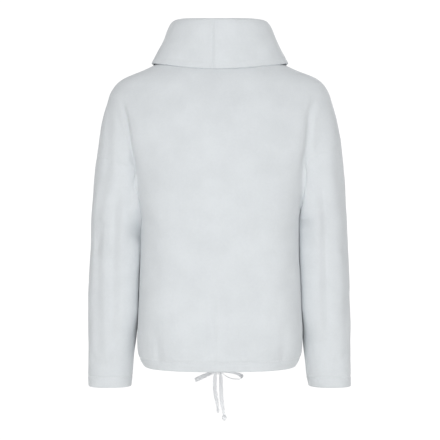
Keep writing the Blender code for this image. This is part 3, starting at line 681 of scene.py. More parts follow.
# Creases of the two panels, across from the middle and up, both as seen by the wearer's left and right:
# paths in metres, with the width and depth at both ends
backCreases = [
    # the two long creases between body and sleeves: narrow and dark on the left, broad on the right
    {"path": [(0.1959, -0.0885), (0.1877, -0.1130), (0.1828, -0.1335), (0.1760, -0.1726), (0.1700, -0.2150)],
     "width": (0.018, 0.020), "depth": (-0.0030, -0.0056)},
    {"path": [(0.1959, -0.0885), (0.1877, -0.1130), (0.1828, -0.1335), (0.1760, -0.1726),
              (0.1706, -0.2150), (0.1664, -0.2500)],
     "width": (0.0044, 0.0042), "depth": (0.0044, 0.0066)},
    {"path": [(-0.1892, -0.0817), (-0.1767, -0.1237), (-0.1726, -0.1687), (-0.1690, -0.2100)],
     "width": (0.022, 0.022), "depth": (-0.0024, -0.0044)},
    {"path": [(-0.1892, -0.0817), (-0.1767, -0.1237), (-0.1726, -0.1687),
              (-0.1680, -0.2150), (-0.1640, -0.2400)],
     "width": (0.0080, 0.0074), "depth": (0.0042, 0.0066)},
    # the pull from the left underarm towards the middle of the back
    {"path": [(0.150, -0.318), (0.128, -0.352), (0.100, -0.398)],
     "width": (0.010, 0.017), "depth": (0.0030, 0.0007)},
    {"path": [(0.148, -0.352), (0.132, -0.408), (0.124, -0.470)],
     "width": (0.011, 0.019), "depth": (0.0024, 0.0006)},
    {"path": [(-0.150, -0.330), (-0.128, -0.372), (-0.092, -0.412)],
     "width": (0.011, 0.020), "depth": (0.0028, 0.0007)},
    {"path": [(-0.152, -0.380), (-0.138, -0.450), (-0.136, -0.530)],
     "width": (0.012, 0.018), "depth": (0.0022, 0.0009)},
    # beside the sleeve creases the cloth stands off in a long soft ridge
    {"path": [(0.168, -0.115), (0.156, -0.190), (0.150, -0.270)],
     "width": (0.012, 0.010), "depth": (-0.0014, -0.0008)},
    {"path": [(-0.158, -0.120), (-0.150, -0.200), (-0.146, -0.280)],
     "width": (0.014, 0.011), "depth": (-0.0018, -0.0010)},
    # the shoulder blades leave a shallow hollow between them
    {"path": [(0.012, -0.120), (0.004, -0.210), (0.010, -0.300)],
     "width": (0.040, 0.030), "depth": (0.0022, 0.0012)},
    {"path": [(0.085, -0.085), (0.108, -0.140), (0.112, -0.210)],
     "width": (0.020, 0.026), "depth": (0.0010, 0.0018)},
    {"path": [(-0.078, -0.090), (-0.102, -0.150), (-0.108, -0.230)],
     "width": (0.020, 0.028), "depth": (0.0012, 0.0020)},
    # a faint fold runs down to the drawn hem, a little to the left of the middle
    {"path": [(0.0146, -0.472), (0.0150, -0.540), (0.0146, -0.612)],
     "width": (0.0080, 0.0070), "depth": (0.0006, 0.0018)},
    {"path": [(-0.020, -0.520), (-0.026, -0.560), (-0.024, -0.610)],
     "width": (0.014, 0.012), "depth": (0.0006, 0.0012)},
    # short dents above the drawn hem
    {"path": [(0.128, -0.548), (0.122, -0.580), (0.124, -0.612)],
     "width": (0.010, 0.008), "depth": (0.0020, 0.0028)},
    {"path": [(-0.122, -0.540), (-0.126, -0.575), (-0.120, -0.610)],
     "width": (0.011, 0.009), "depth": (0.0022, 0.0030)},
    {"path": [(0.060, -0.560), (0.066, -0.590), (0.062, -0.614)],
     "width": (0.013, 0.010), "depth": (0.0008, 0.0014)},
    {"path": [(-0.050, -0.568), (-0.058, -0.592), (-0.056, -0.614)],
     "width": (0.014, 0.010), "depth": (0.0008, 0.0013)},
]
frontCreases = [
    {"path": [(0.148, -0.322), (0.118, -0.372), (0.078, -0.430)],
     "width": (0.010, 0.020), "depth": (0.0036, 0.0010)},
    {"path": [(0.150, -0.360), (0.130, -0.430), (0.120, -0.510)],
     "width": (0.012, 0.020), "depth": (0.0026, 0.0010)},
    {"path": [(-0.148, -0.326), (-0.114, -0.380), (-0.070, -0.420)],
     "width": (0.011, 0.021), "depth": (0.0038, 0.0010)},
    {"path": [(-0.150, -0.372), (-0.134, -0.446), (-0.128, -0.520)],
     "width": (0.012, 0.018), "depth": (0.0024, 0.0010)},
    {"path": [(0.092, -0.128), (0.112, -0.190), (0.128, -0.262)],
     "width": (0.016, 0.012), "depth": (0.0018, 0.0030)},
    {"path": [(-0.088, -0.136), (-0.106, -0.200), (-0.124, -0.270)],
     "width": (0.016, 0.012), "depth": (0.0016, 0.0032)},
    {"path": [(0.030, -0.180), (0.012, -0.290), (0.018, -0.400)],
     "width": (0.034, 0.028), "depth": (0.0014, 0.0022)},
    {"path": [(-0.036, -0.400), (-0.030, -0.480), (-0.040, -0.560)],
     "width": (0.022, 0.018), "depth": (0.0012, 0.0024)},
    # the tape's two ends draw the hem in at the middle
    {"path": [(0.020, -0.560), (0.016, -0.590), (0.015, -0.616)],
     "width": (0.012, 0.007), "depth": (0.0016, 0.0030)},
    {"path": [(-0.022, -0.552), (-0.018, -0.586), (-0.015, -0.616)],
     "width": (0.012, 0.007), "depth": (0.0018, 0.0032)},
    {"path": [(0.000, -0.570), (0.001, -0.592), (0.000, -0.614)],
     "width": (0.009, 0.006), "depth": (-0.0010, -0.0018)},
    {"path": [(0.100, -0.545), (0.106, -0.582), (0.102, -0.612)],
     "width": (0.012, 0.009), "depth": (0.0014, 0.0026)},
    {"path": [(-0.112, -0.550), (-0.106, -0.580), (-0.110, -0.612)],
     "width": (0.012, 0.009), "depth": (0.0016, 0.0026)},
]

# Gathers round the drawn hem: turn round the body (0 behind, towards the wearer's left), width and depth
gathers = np.random.default_rng(41)
hemGathers = []
gatherTurn = -pi + 0.04
while gatherTurn < pi - 0.03:
    gatherWidth = gathers.uniform(0.020, 0.048)
    front = 0.5 - 0.5 * cos(gatherTurn)
    hemGathers.append((gatherTurn, gatherWidth, gathers.uniform(0.3, 1.0) * (0.0006 + 0.0010 * front ** 2)))
    gatherTurn += gatherWidth * gathers.uniform(1.9, 3.4)


def gatherRelief(points):
    # Short gathers at the drawn hem, deepest at the channel's stitching
    halfX = torso["half_width"](points[..., 2])
    turn = np.arctan2(points[..., 0] / halfX, points[..., 1] / 0.12)
    height = points[..., 2] - hemLevel
    reach = np.exp(-((height - hemTurnUp) / np.where(height > hemTurnUp, 0.026, 0.020)) ** 2)
    relief = np.zeros(turn.shape)
    for place, width, depth in hemGathers:
        gap = np.angle(np.exp(1j * (turn - place)))
        relief -= depth * np.exp(-(gap / width) ** 2)
    return relief * reach


cornerLook = {"height": 0.0200, "top": -0.215, "top_fade": 0.12, "bottom": -0.615, "bottom_fade": 0.11,
              "side_share": 0.12, "back_share": 0.05}


def cornerFill(points, normals):
    # Body and sleeve press each other flat where they hang side by side, so their corners fill out
    look = cornerLook
    level = points[..., 2]
    reach = np.clip((look["top"] - level) / look["top_fade"], 0, 1)
    reach = reach * np.clip((level - look["bottom"]) / look["bottom_fade"], 0, 1)
    reach = reach * reach * (3 - 2 * reach)
    sideways = normals[..., 0] ** 2
    backwards = normals[..., 1] ** 2
    fill = look["height"] * sideways / (sideways + look["side_share"])
    return fill * backwards / (backwards + look["back_share"]) * reach


def halfPanel(side, facing):
    # One half of a body panel: rows up from the hem, columns out from the middle
    seam = armSeams[side, facing]
    zUnder = seam[0, 1]
    spread = np.linspace(hemLevel + hemHeights[-1], zUnder, 86)[1:-1]
    levels = np.concatenate([hemLevel + hemHeights, spread, [zUnder]])
    count = len(levels)
    right = np.vstack([np.column_stack([torso["half_width"](levels), levels]), seam[1:]])
    right[count - 1] = seam[0]
    top = topEdge(side, facing)
    shares = hemShares()
    bottom = np.column_stack([shares * right[0, 0], np.full(len(shares), hemLevel)])
    middleTop = top[0, 1]
    above = levels - hemLevel
    middle = np.empty(len(right))
    middle[:count] = hemLevel + above * (1 + 0.12 * above / (zUnder - hemLevel))
    rise = armSteps[1:] / armSteps[-1]
    middle[count:] = middleTop + (middle[count - 1] - middleTop) * (1 - rise) ** 1.15
    left = np.column_stack([np.zeros(len(right)), middle])
    v = ((middle - hemLevel) / (middleTop - hemLevel))[:, None, None]
    u = shares[None, :, None] ** 3
    flat = (1 - v) * bottom[None] + v * top[None] + (1 - u) * left[:, None] + u * right[:, None]
    flat -= (1 - u) * (1 - v) * bottom[0] + u * (1 - v) * bottom[-1] + (1 - u) * v * top[0] + u * v * top[-1]
    x, z = flat[..., 0], flat[..., 1]
    y = facing * clothDepth(side, facing, x, z)
    y[:count, -1] = 0
    neckCount = np.count_nonzero(columnSteps <= neckColumns)
    y[-1, neckCount - 1:] = 0
    points = np.stack([x, y, z], -1)
    normals = clothNormal(side, points)
    normals[:count, -1, 1] = 0
    normals[-1, neckCount - 1:, 1] = 0
    normals[:, 0, 0] = 0
    normals /= np.linalg.norm(normals, axis=-1, keepdims=True)
    return mirrored(points, side), mirrored(normals, side)


def makePanel(look):
    facing = look["facing"]
    rightPoints, rightNormals = halfPanel("right", facing)
    leftPoints, leftNormals = halfPanel("left", facing)
    points = np.concatenate([rightPoints[:, :0:-1], leftPoints], axis=1)
    normals = np.concatenate([rightNormals[:, :0:-1], leftNormals], axis=1)
    fromSides = np.minimum(distanceAlong(points, 1, "first"), distanceAlong(points, 1, "last"))
    fromTop = distanceAlong(points, 0, "last")
    height = points[..., 2] - hemLevel
    inside = np.clip(np.minimum(fromSides, fromTop) / 0.020, 0, 1)
    nearSeam = np.clip(np.minimum(fromSides, fromTop) / 0.006, 0, 1)
    relief = creaseRelief(points[..., 0], points[..., 2], look["creases"]) * nearSeam
    relief += gatherRelief(points) + unevenness(points, look["unevenness"]) * inside
    relief += seamShape(fromSides) + seamShape(fromTop)
    sideRows = len(points) - len(armSteps)
    seamDistances = {"right": distanceAlong(points, 1, "first"), "left": distanceAlong(points, 1, "last")}
    for side, gap in seamDistances.items():
        share = np.concatenate([np.zeros(sideRows), creaseShare()])[:, None]
        relief += share * creaseShape(side, gap)
    relief += stitchShape(height, look["stitch_lines"])
    thickness = foldedThickness(height, hemTurnUp)
    half = np.minimum(roundedHalf(height, thickness, 0.06),
                      roundedHalf(np.minimum(fromSides, fromTop), thickness, 0.97))
    middle = points + normals * (relief - thickness / 2)[..., None]
    middle[..., 1] += look["facing"] * cornerFill(points, normals)
    outer = middle + normals * half[..., None]
    inner = middle - normals * half[..., None]
    piece = clothShell(look["name"], outer, inner, False, fleece)
    return showAs(piece, [look["node"]])


backPanel = makePanel({
    "name": "fleece_back", "node": "back_panel", "facing": 1, "creases": backCreases,
    "unevenness": [(0.085, 0.0016), (0.034, 0.0005), (0.012, 0.00012)],
    "stitch_lines": (0.0172, 0.0196),
})
frontPanel = makePanel({
    "name": "fleece_front", "node": "front_panel", "facing": -1, "creases": frontCreases,
    "unevenness": [(0.085, 0.0018), (0.034, 0.0006), (0.012, 0.00012)],
    "stitch_lines": (0.0172, 0.0196),
})
print("body panels:", len(backPanel.data.polygons), "and", len(frontPanel.data.polygons), "faces")

# Sleeves

# Creases of the sleeves: the turn round the arm from its outer side (90 behind, -90 in front), and the level
sleeveCreases = {
    "left": [
        {"path": [(66, -0.190), (60, -0.300), (54, -0.440), (56, -0.630)],
         "width": (0.008, 0.010), "depth": (0.0026, 0.0022)},
        {"path": [(30, -0.200), (24, -0.330), (26, -0.500)],
         "width": (0.010, 0.010), "depth": (0.0012, 0.0014)},
        {"path": [(72, -0.330), (60, -0.372), (42, -0.402)],
         "width": (0.007, 0.011), "depth": (0.0026, 0.0008)},
        {"path": [(38, -0.392), (66, -0.404), (92, -0.396)],
         "width": (0.008, 0.012), "depth": (0.0020, 0.0008)},
        {"path": [(124, -0.350), (112, -0.430), (106, -0.520)],
         "width": (0.009, 0.012), "depth": (0.0018, 0.0010)},
        {"path": [(30, -0.600), (58, -0.618), (86, -0.612)],
         "width": (0.007, 0.010), "depth": (0.0022, 0.0008)},
        {"path": [(100, -0.560), (112, -0.600), (110, -0.640)],
         "width": (0.008, 0.008), "depth": (0.0014, 0.0018)},
        {"path": [(-40, -0.330), (-66, -0.368), (-96, -0.380)],
         "width": (0.008, 0.012), "depth": (0.0034, 0.0014)},
        {"path": [(-52, -0.372), (-78, -0.402), (-110, -0.404)],
         "width": (0.008, 0.012), "depth": (0.0026, 0.0010)},
        {"path": [(-60, -0.100), (-70, -0.170), (-80, -0.240)],
         "width": (0.011, 0.009), "depth": (0.0014, 0.0028)},
        {"path": [(-74, -0.470), (-66, -0.540), (-58, -0.610)],
         "width": (0.010, 0.009), "depth": (0.0016, 0.0022)},
        {"path": [(-104, -0.590), (-80, -0.612), (-48, -0.606)],
         "width": (0.007, 0.010), "depth": (0.0020, 0.0010)},
        {"path": [(-8, -0.260), (-4, -0.330), (-10, -0.400)],
         "width": (0.013, 0.012), "depth": (0.0012, 0.0016)},
        {"path": [(168, -0.372), (160, -0.440), (172, -0.520)],
         "width": (0.009, 0.010), "depth": (0.0018, 0.0010)},
    ],
    "right": [
        {"path": [(46, -0.180), (42, -0.300), (38, -0.450), (42, -0.630)],
         "width": (0.012, 0.012), "depth": (0.0028, 0.0026)},
        {"path": [(96, -0.190), (98, -0.260), (104, -0.330)],
         "width": (0.010, 0.009), "depth": (0.0008, 0.0016)},
        {"path": [(64, -0.352), (48, -0.392), (30, -0.410)],
         "width": (0.008, 0.012), "depth": (0.0022, 0.0008)},
        {"path": [(34, -0.372), (60, -0.396), (88, -0.392)],
         "width": (0.008, 0.011), "depth": (0.0018, 0.0008)},
        {"path": [(120, -0.360), (110, -0.430), (112, -0.510)],
         "width": (0.010, 0.011), "depth": (0.0016, 0.0012)},
        {"path": [(34, -0.598), (60, -0.610), (92, -0.604)],
         "width": (0.007, 0.010), "depth": (0.0020, 0.0008)},
        {"path": [(70, -0.540), (66, -0.590), (70, -0.640)],
         "width": (0.010, 0.009), "depth": (0.0010, 0.0016)},
        {"path": [(-42, -0.336), (-70, -0.374), (-100, -0.384)],
         "width": (0.008, 0.012), "depth": (0.0036, 0.0014)},
        {"path": [(-50, -0.382), (-80, -0.414), (-112, -0.412)],
         "width": (0.009, 0.012), "depth": (0.0024, 0.0010)},
        {"path": [(-58, -0.110), (-68, -0.180), (-82, -0.250)],
         "width": (0.011, 0.009), "depth": (0.0016, 0.0030)},
        {"path": [(-70, -0.460), (-62, -0.530), (-66, -0.610)],
         "width": (0.010, 0.009), "depth": (0.0018, 0.0022)},
        {"path": [(-100, -0.600), (-76, -0.618), (-46, -0.610)],
         "width": (0.007, 0.010), "depth": (0.0018, 0.0010)},
        {"path": [(4, -0.280), (-6, -0.350), (2, -0.430)],
         "width": (0.013, 0.012), "depth": (0.0014, 0.0014)},
        {"path": [(172, -0.380), (164, -0.450), (170, -0.530)],
         "width": (0.009, 0.010), "depth": (0.0018, 0.0010)},
    ],
}


def firstCrossing(value, shape, farthest):
    # The nearest place along each ray where the cloth lies
    inside = np.zeros(shape)
    found = np.full(shape, farthest)
    done = np.zeros(shape, bool)
    for distance in np.linspace(0, farthest, 70)[1:]:
        outside = value(np.full(shape, distance)) > 0
        found[outside & ~done] = distance
        done |= outside
        inside[~done] = distance
    return findZero(value, inside, found)

# Where a hanging sleeve rests on the body, in degrees round the arm and in metres: the side that is pressed
# flat, and the two corners that swell out beside it
sleeveTouch = {
    "turn": 192, "spread": 26, "press": 0.0016, "most": 0.008,
    "lower_fade": 0.05, "upper_fade": 0.02,
    "corners": (148, 212), "corner_spread": 19, "corner_height": 0.0085,
}


def makeSleeve(look):
    # A tube from the sleeve seam down to the cuff; its columns run round from the shoulder, back first
    side = look["side"]
    arm = arms[side]
    seams = {}
    for facing in (1, -1):
        flat = armSeams[side, facing][::-1]
        y = facing * clothDepth(side, facing, flat[:, 0], flat[:, 1])
        y[0] = 0
        y[-1] = 0
        seams[facing] = np.column_stack([flat[:, 0], y, flat[:, 1]])
    seam = np.vstack([seams[1], seams[-1][-2:0:-1]])
    count = len(seam)
    halfCount = len(armSteps) - 1
    down = armSteps[-1] - armSteps[::-1]
    turnShare = np.concatenate([down, 2 * armSteps[-1] - down[-2:0:-1]]) / (2 * armSteps[-1])

    def centre(z):
        return np.stack([arm["outer"](z) - arm["half_width"](z), -arm["forward"](z)], -1)

    offset = seam[:, :2] - centre(seam[:, 2])
    startTurn = np.unwrap(np.arctan2(offset[:, 1], offset[:, 0]))
    endTurn = tau * turnShare
    lastLevel = cuffLevel + cuffHeights[-1]
    shares = np.concatenate([[0, 0.002, 0.005, 0.010, 0.016], np.linspace(0.024, 1, 118)])[:, None]
    ease = np.minimum(1, shares * 2.2)
    ease = ease * ease * (3 - 2 * ease)
    levels = seam[:, 2] + (lastLevel - seam[:, 2]) * shares
    turns = startTurn + (endTurn - startTurn) * ease
    cuffLevels = np.repeat(cuffLevel + cuffHeights[-2::-1, None], count, axis=1)
    levels = np.vstack([levels, cuffLevels])
    turns = np.vstack([turns, np.repeat(endTurn[None], len(cuffLevels), axis=0)])
    middle = centre(levels)
    ray = np.stack([np.cos(turns), np.sin(turns)], -1)
    below = levels < seam[halfCount, 2] + 0.001

    def value(distance):
        x = middle[..., 0] + ray[..., 0] * distance
        y = middle[..., 1] + ray[..., 1] * distance
        return np.where(below, clothField(side, x, y, levels, "arm"), clothField(side, x, y, levels))

    def armValue(distance):
        x = middle[..., 0] + ray[..., 0] * distance
        y = middle[..., 1] + ray[..., 1] * distance
        return clothField(side, x, y, levels, "arm")

    # at the bottom of the crease a ray could run on into the body, so the arm alone limits it
    armDistance = firstCrossing(armValue, levels.shape, 0.13)
    distance = np.minimum(firstCrossing(value, levels.shape, 0.13), armDistance + 0.006)
    points = np.concatenate([middle + ray * distance[..., None], levels[..., None]], -1)
    points[0] = seam
    whole = clothNormal(side, points)
    alone = clothNormal(side, points, "arm")
    normals = np.where(below[..., None], alone, whole)
    height = levels - cuffLevel
    fromSeam = distanceTo(points, seam)
    inside = np.clip(fromSeam / 0.020, 0, 1)
    around = np.angle(np.exp(1j * turns)) * 0.045
    relief = np.zeros(levels.shape)
    for crease in look["creases"]:
        path = [(radians(turn) * 0.045, level) for turn, level in crease["path"]]
        for lap in (-tau * 0.045, 0, tau * 0.045):
            moved = [(a + lap, b) for a, b in path]
            if min(a for a, b in moved) < 0.18 and max(a for a, b in moved) > -0.18:
                relief += creaseRelief(around, levels, [{**crease, "path": moved}])
    relief *= inside
    placed = mirrored(points, side)
    relief += unevenness(placed, look["unevenness"]) * inside
    relief += seamShape(fromSeam) + stitchShape(height, look["stitch_lines"])
    share = creaseShare()[::-1]
    share = np.concatenate([share, share[-2:0:-1]])[None]
    relief += share * creaseShape(side, fromSeam)
    # the hanging sleeve rests against the side of the body, down to where the two part
    between = arm["outer"](levels) - 2 * arm["half_width"](levels) - torso["half_width"](levels)
    turnFromBody = np.angle(np.exp(1j * (turns - radians(sleeveTouch["turn"]))))
    facingBody = np.exp(-(turnFromBody / radians(sleeveTouch["spread"])) ** 2)
    touching = np.clip((levels - look["part_level"]) / sleeveTouch["lower_fade"], 0, 1)
    touching = touching * np.clip((seam[halfCount, 2] - levels) / sleeveTouch["upper_fade"], 0, 1)
    relief += np.clip(between + sleeveTouch["press"], 0, sleeveTouch["most"]) * facingBody * touching
    for corner in sleeveTouch["corners"]:
        turnGap = np.angle(np.exp(1j * (turns - radians(corner))))
        swell = np.exp(-(turnGap / radians(sleeveTouch["corner_spread"])) ** 2)
        relief += sleeveTouch["corner_height"] * swell * touching
    thickness = foldedThickness(height, cuffTurnUp)
    half = np.minimum(roundedHalf(height, thickness, 0.06), roundedHalf(fromSeam, thickness, 0.97))
    normals = mirrored(normals, side)
    middleCloth = placed + normals * (relief - thickness / 2)[..., None]
    inward = np.clip(-normals[..., 0] * (1 if side == "left" else -1), 0, 1) > 0
    middleCloth[..., 1] += np.sign(normals[..., 1]) * cornerFill(placed, normals) * inward
    outer = middleCloth + normals * half[..., None]
    inner = middleCloth - normals * half[..., None]
    piece = clothShell(look["name"], outer, inner, True, fleece)
    return showAs(piece, [look["node"]])


cuffHeights = np.concatenate([
    [0, 0.0004, 0.0011, 0.0020, 0.0032, 0.0048],
    np.arange(0.0070, 0.0160, 0.0026),
    np.arange(0.0172, 0.0250, 0.0009),
])
leftSleeve = makeSleeve({
    "name": "fleece_sleeve_left", "node": "sleeve_left", "side": "left", "creases": sleeveCreases["left"],
    "unevenness": [(0.070, 0.0013), (0.030, 0.0005), (0.012, 0.00012)],
    "stitch_lines": (0.0205, 0.0228),
    "part_level": -0.558,
})
rightSleeve = makeSleeve({
    "name": "fleece_sleeve_right", "node": "sleeve_right", "side": "right", "creases": sleeveCreases["right"],
    "unevenness": [(0.070, 0.0013), (0.030, 0.0005), (0.012, 0.00012)],
    "stitch_lines": (0.0205, 0.0228),
    "part_level": -0.556,
})
print("sleeves:", len(leftSleeve.data.polygons), "and", len(rightSleeve.data.polygons), "faces")

# Collar: one wide strip of the fleece that stands up, folds over and hangs as a flap

# Rows of the strip from the neck seam up, over the fold and down the flap: half width, depth behind and
# in front, and level at the sides, the back and the front
collarTable = (
    (0.0900, 0.0630, 0.0960, 0.0140, -0.0050, -0.0610),
    (0.0860, 0.0625, 0.0860, 0.0360, 0.0250, -0.0220),
    (0.0845, 0.0630, 0.0820, 0.0570, 0.0500, 0.0140),
    (0.0862, 0.0650, 0.0830, 0.0680, 0.0620, 0.0270),
    (0.0905, 0.0678, 0.0862, 0.0725, 0.0672, 0.0325),
    (0.0958, 0.0708, 0.0908, 0.0695, 0.0640, 0.0290),
    (0.1025, 0.0730, 0.0968, 0.0590, 0.0530, 0.0150),
    (0.1118, 0.0750, 0.1046, 0.0365, 0.0290, -0.0160),
    (0.1252, 0.0768, 0.1138, 0.0115, -0.0010, -0.0530),
    (0.1330, 0.0780, 0.1190, -0.0030, -0.0180, -0.0780),
    (0.1375, 0.0792, 0.1225, -0.0125, -0.0310, -0.0960),
)

# Creases of the collar: the turn (0 behind, 90 at the wearer's left) and the way along the strip in metres
collarCreases = [
    {"path": [(24, 0.150), (30, 0.172), (33, 0.196)], "width": (0.012, 0.010), "depth": (0.0006, 0.0016)},
    {"path": [(-28, 0.140), (-34, 0.168), (-38, 0.198)], "width": (0.012, 0.010), "depth": (0.0006, 0.0014)},
    {"path": [(64, 0.100), (74, 0.140), (80, 0.190)], "width": (0.010, 0.012), "depth": (0.0012, 0.0022)},
    {"path": [(-66, 0.100), (-76, 0.142), (-84, 0.190)], "width": (0.010, 0.012), "depth": (0.0014, 0.0024)},
    {"path": [(128, 0.110), (136, 0.150), (148, 0.190)], "width": (0.012, 0.014), "depth": (0.0020, 0.0030)},
    {"path": [(-124, 0.105), (-134, 0.150), (-142, 0.190)],
     "width": (0.012, 0.014), "depth": (0.0018, 0.0032)},
    {"path": [(172, 0.120), (178, 0.160), (174, 0.195)], "width": (0.016, 0.018), "depth": (0.0016, 0.0024)},
    {"path": [(150, 0.030), (158, 0.055), (164, 0.078)], "width": (0.010, 0.010), "depth": (0.0018, 0.0010)},
    {"path": [(-150, 0.026), (-160, 0.050), (-168, 0.074)],
     "width": (0.010, 0.010), "depth": (0.0016, 0.0010)},
    {"path": [(12, 0.020), (8, 0.045), (10, 0.072)], "width": (0.010, 0.010), "depth": (0.0010, 0.0006)},
]


def ringShare(turn, backValue, sideValue, frontValue):
    # A value that runs smoothly from the back, round the sides, to the front
    behind = np.cos(turn) > 0
    end = np.where(behind, backValue, frontValue)
    return sideValue + (end - sideValue) * np.abs(np.cos(turn)) ** np.where(behind, 2, 3)


def makeCollar(look):
    quarter = neckTurn(np.linspace(0, neckColumns, 61))
    turn = np.concatenate([quarter, pi - quarter[-2::-1], pi + quarter[1:], 2 * pi - quarter[-2:0:-1]])
    facing = np.where(np.cos(turn) > -1e-9, 1, -1)
    drop = np.where(facing > 0, backNeckDrop, frontNeckDrop)
    x = np.abs(neckHalfWidth * np.sin(turn))
    z = -drop * np.cos(turn) ** 2
    start = np.empty((len(turn), 3))
    startNormal = np.empty((len(turn), 3))
    for side in ("left", "right"):
        mine = np.sin(turn) >= 0 if side == "left" else np.sin(turn) < 0
        depth = findZero(lambda y: clothField(side, x[mine], facing[mine] * y, z[mine]),
                         np.zeros(mine.sum()), np.full(mine.sum(), 0.25))
        depth[np.abs(np.cos(turn[mine])) < 1e-9] = 0
        points = np.column_stack([x[mine], facing[mine] * depth, z[mine]])
        start[mine] = mirrored(points, side)
        startNormal[mine] = mirrored(clothNormal(side, points), side)
    start -= startNormal * clothThickness / 2
    strips = [start]
    for halfWidth, back, front, sideLevel, backLevel, frontLevel in collarTable:
        depth = np.where(np.cos(turn) > 0, back, front)
        level = ringShare(turn, backLevel, sideLevel, frontLevel)
        strips.append(np.column_stack([halfWidth * np.sin(turn), depth * np.cos(turn), level]))
    strips = np.array(strips)
    lengths = np.linalg.norm(np.diff(strips, axis=0), axis=2).mean(1)
    places = np.concatenate([[0], np.cumsum(lengths)])
    total = places[-1]
    rows = np.concatenate([
        [0, 0.0008, 0.0018, 0.0032], np.linspace(0.0055, total - 0.0180, 66),
        total - np.arange(0.0160, 0.0045, -0.0011), total - np.array([0.0036, 0.0024, 0.0014, 0.0006, 0]),
    ])
    middle = np.empty((len(rows), len(turn), 3))
    for column in range(len(turn)):
        for axis in range(3):
            middle[:, column, axis] = curveThrough(places, strips[:, column, axis])(rows)
    down = np.gradient(middle, axis=0)
    around = np.roll(middle, -1, axis=1) - np.roll(middle, 1, axis=1)
    normals = np.cross(around, down)
    normals /= np.linalg.norm(normals, axis=2, keepdims=True)
    normals *= np.sign(np.sum(normals[0] * startNormal, axis=1))[None, :, None]
    fromSeam = np.repeat(rows[:, None], len(turn), axis=1)
    toEdge = total - fromSeam
    # the flap's turned edge is thicker and softer than the rest
    thickness = collarThickness + 0.0005 * np.clip((0.0110 - toEdge) / 0.006, 0, 1)
    angle = np.degrees(np.angle(np.exp(1j * turn)))[None].repeat(len(rows), axis=0)
    relief = np.zeros(angle.shape)
    for crease in look["creases"]:
        path = [(a * 0.0019, b) for a, b in crease["path"]]
        for lap in (-0.684, 0, 0.684):
            moved = [(a + lap, b) for a, b in path]
            relief += creaseRelief(angle * 0.0019, fromSeam, [{**crease, "path": moved}])
    relief *= np.clip(fromSeam / 0.02, 0, 1)
    relief += unevenness(middle, look["unevenness"]) * np.clip(fromSeam / 0.02, 0.35, 1)
    relief += seamShape(fromSeam) + stitchShape(toEdge, look["stitch_lines"], 0.0003)
    # the flap's edge settles on the back, as far as it is from the cloth under it
    gaps = np.zeros(len(turn))
    for column in range(len(turn)):
        start = Vector(middle[-6, column] + normals[-6, column] * thickness[-6, column] / 2)
        hit = backTree.ray_cast(start, Vector(normals[-6, column]), 0.020)
        gaps[column] = hit[3] if hit[3] is not None else 0
    ends = np.clip((np.cos(turn) - 0.10) / 0.45, 0, 1)
    settle = np.clip(gaps - look["rest_gap"], 0, 0.012) * ends * ends * (3 - 2 * ends)
    for smoothing in range(12):
        settle = (np.roll(settle, 1) + 2 * settle + np.roll(settle, -1)) / 4
    resting = np.clip((0.050 - toEdge) / 0.046, 0, 1)
    settled = settle[None] * resting ** 1.6
    # the strip's ends are joined in a plain seam just to the left of the centre back
    joinGap = (middle[..., 0] - look["join_place"]) * np.where(np.cos(turn) > 0, 1, 9)[None]
    joined = np.where((np.cos(turn) > 0)[None], 1.0, 0.0)
    fold = places[look["fold_row"]]
    pastFold = fromSeam - fold
    outside = np.clip((pastFold + 0.006) / 0.02, 0.2, 1) * (1 - 0.85 * np.exp(-(pastFold / 0.012) ** 2))
    relief -= joined * outside * 0.0018 * np.exp(-(joinGap / 0.0020) ** 2)
    relief += joined * outside * 0.0012 * np.exp(-((joinGap + 0.0060) / 0.0036) ** 2)
    half = np.minimum(roundedHalf(fromSeam, thickness, 0.4), roundedHalf(toEdge, thickness, 0.06))
    # past the fold the strip's first face looks inwards, so what is raised there goes the other way
    outwards = np.where(fromSeam < fold, 1, -1)
    lifted = middle + normals * (relief * outwards + settled)[..., None]
    piece = clothShell(look["name"], lifted + normals * half[..., None], lifted - normals * half[..., None],
                       True, fleece)
    return showAs(piece, [look["node"]])


backTree = BVHTree.FromPolygons([v.co for v in backPanel.data.vertices],
                                [p.vertices for p in backPanel.data.polygons])
collar = makeCollar({
    "name": "fleece_collar", "node": "collar", "creases": collarCreases,
    "unevenness": [(0.070, 0.0014), (0.026, 0.0005), (0.010, 0.00012)],
    "stitch_lines": (0.0128,),
    "join_place": 0.0150,
    "fold_row": 5,
    "rest_gap": 0.0016,
})
print("collar:", len(collar.data.polygons), "faces")


# Sewing thread along the hem and the cuffs, and round the two buttonholes

threadLook = {"colour": "#e6e8ea", "roughness": 0.6, "twist": 1 / 0.00035}
thread, threadShader = newMaterial("polyester thread, spun")
threadPlaces = addNode(thread, "ShaderNodeTexCoord", {}, {})
threadTwist = addNode(thread, "ShaderNodeTexNoise", {"Scale": threadLook["twist"], "Detail": 1.0},
                      {"Vector": threadPlaces.outputs["Object"]})
# The twisted yarn breaks up the highlight on each stitch
threadBump = addNode(thread, "ShaderNodeBump", {"Strength": 0.4, "Distance": 0.0001},
                     {"Height": threadTwist.outputs["Fac"]})
thread.node_tree.links.new(threadBump.outputs["Normal"], threadShader.inputs["Normal"])
threadShader.inputs["Base Color"].default_value = linearColour(threadLook["colour"])
threadShader.inputs["Roughness"].default_value = threadLook["roughness"]


def stitchesOn(piece, columnsRow, wrapped):
    # Points and outward directions along one row of a cloth shell's outer grid
    points = np.array([piece.data.vertices[i].co[:] for i in columnsRow])
    normals = np.array([piece.data.vertices[i].normal[:] for i in columnsRow])
    if wrapped:
        points = np.vstack([points, points[:1]])
        normals = np.vstack([normals, normals[:1]])
    return points, normals


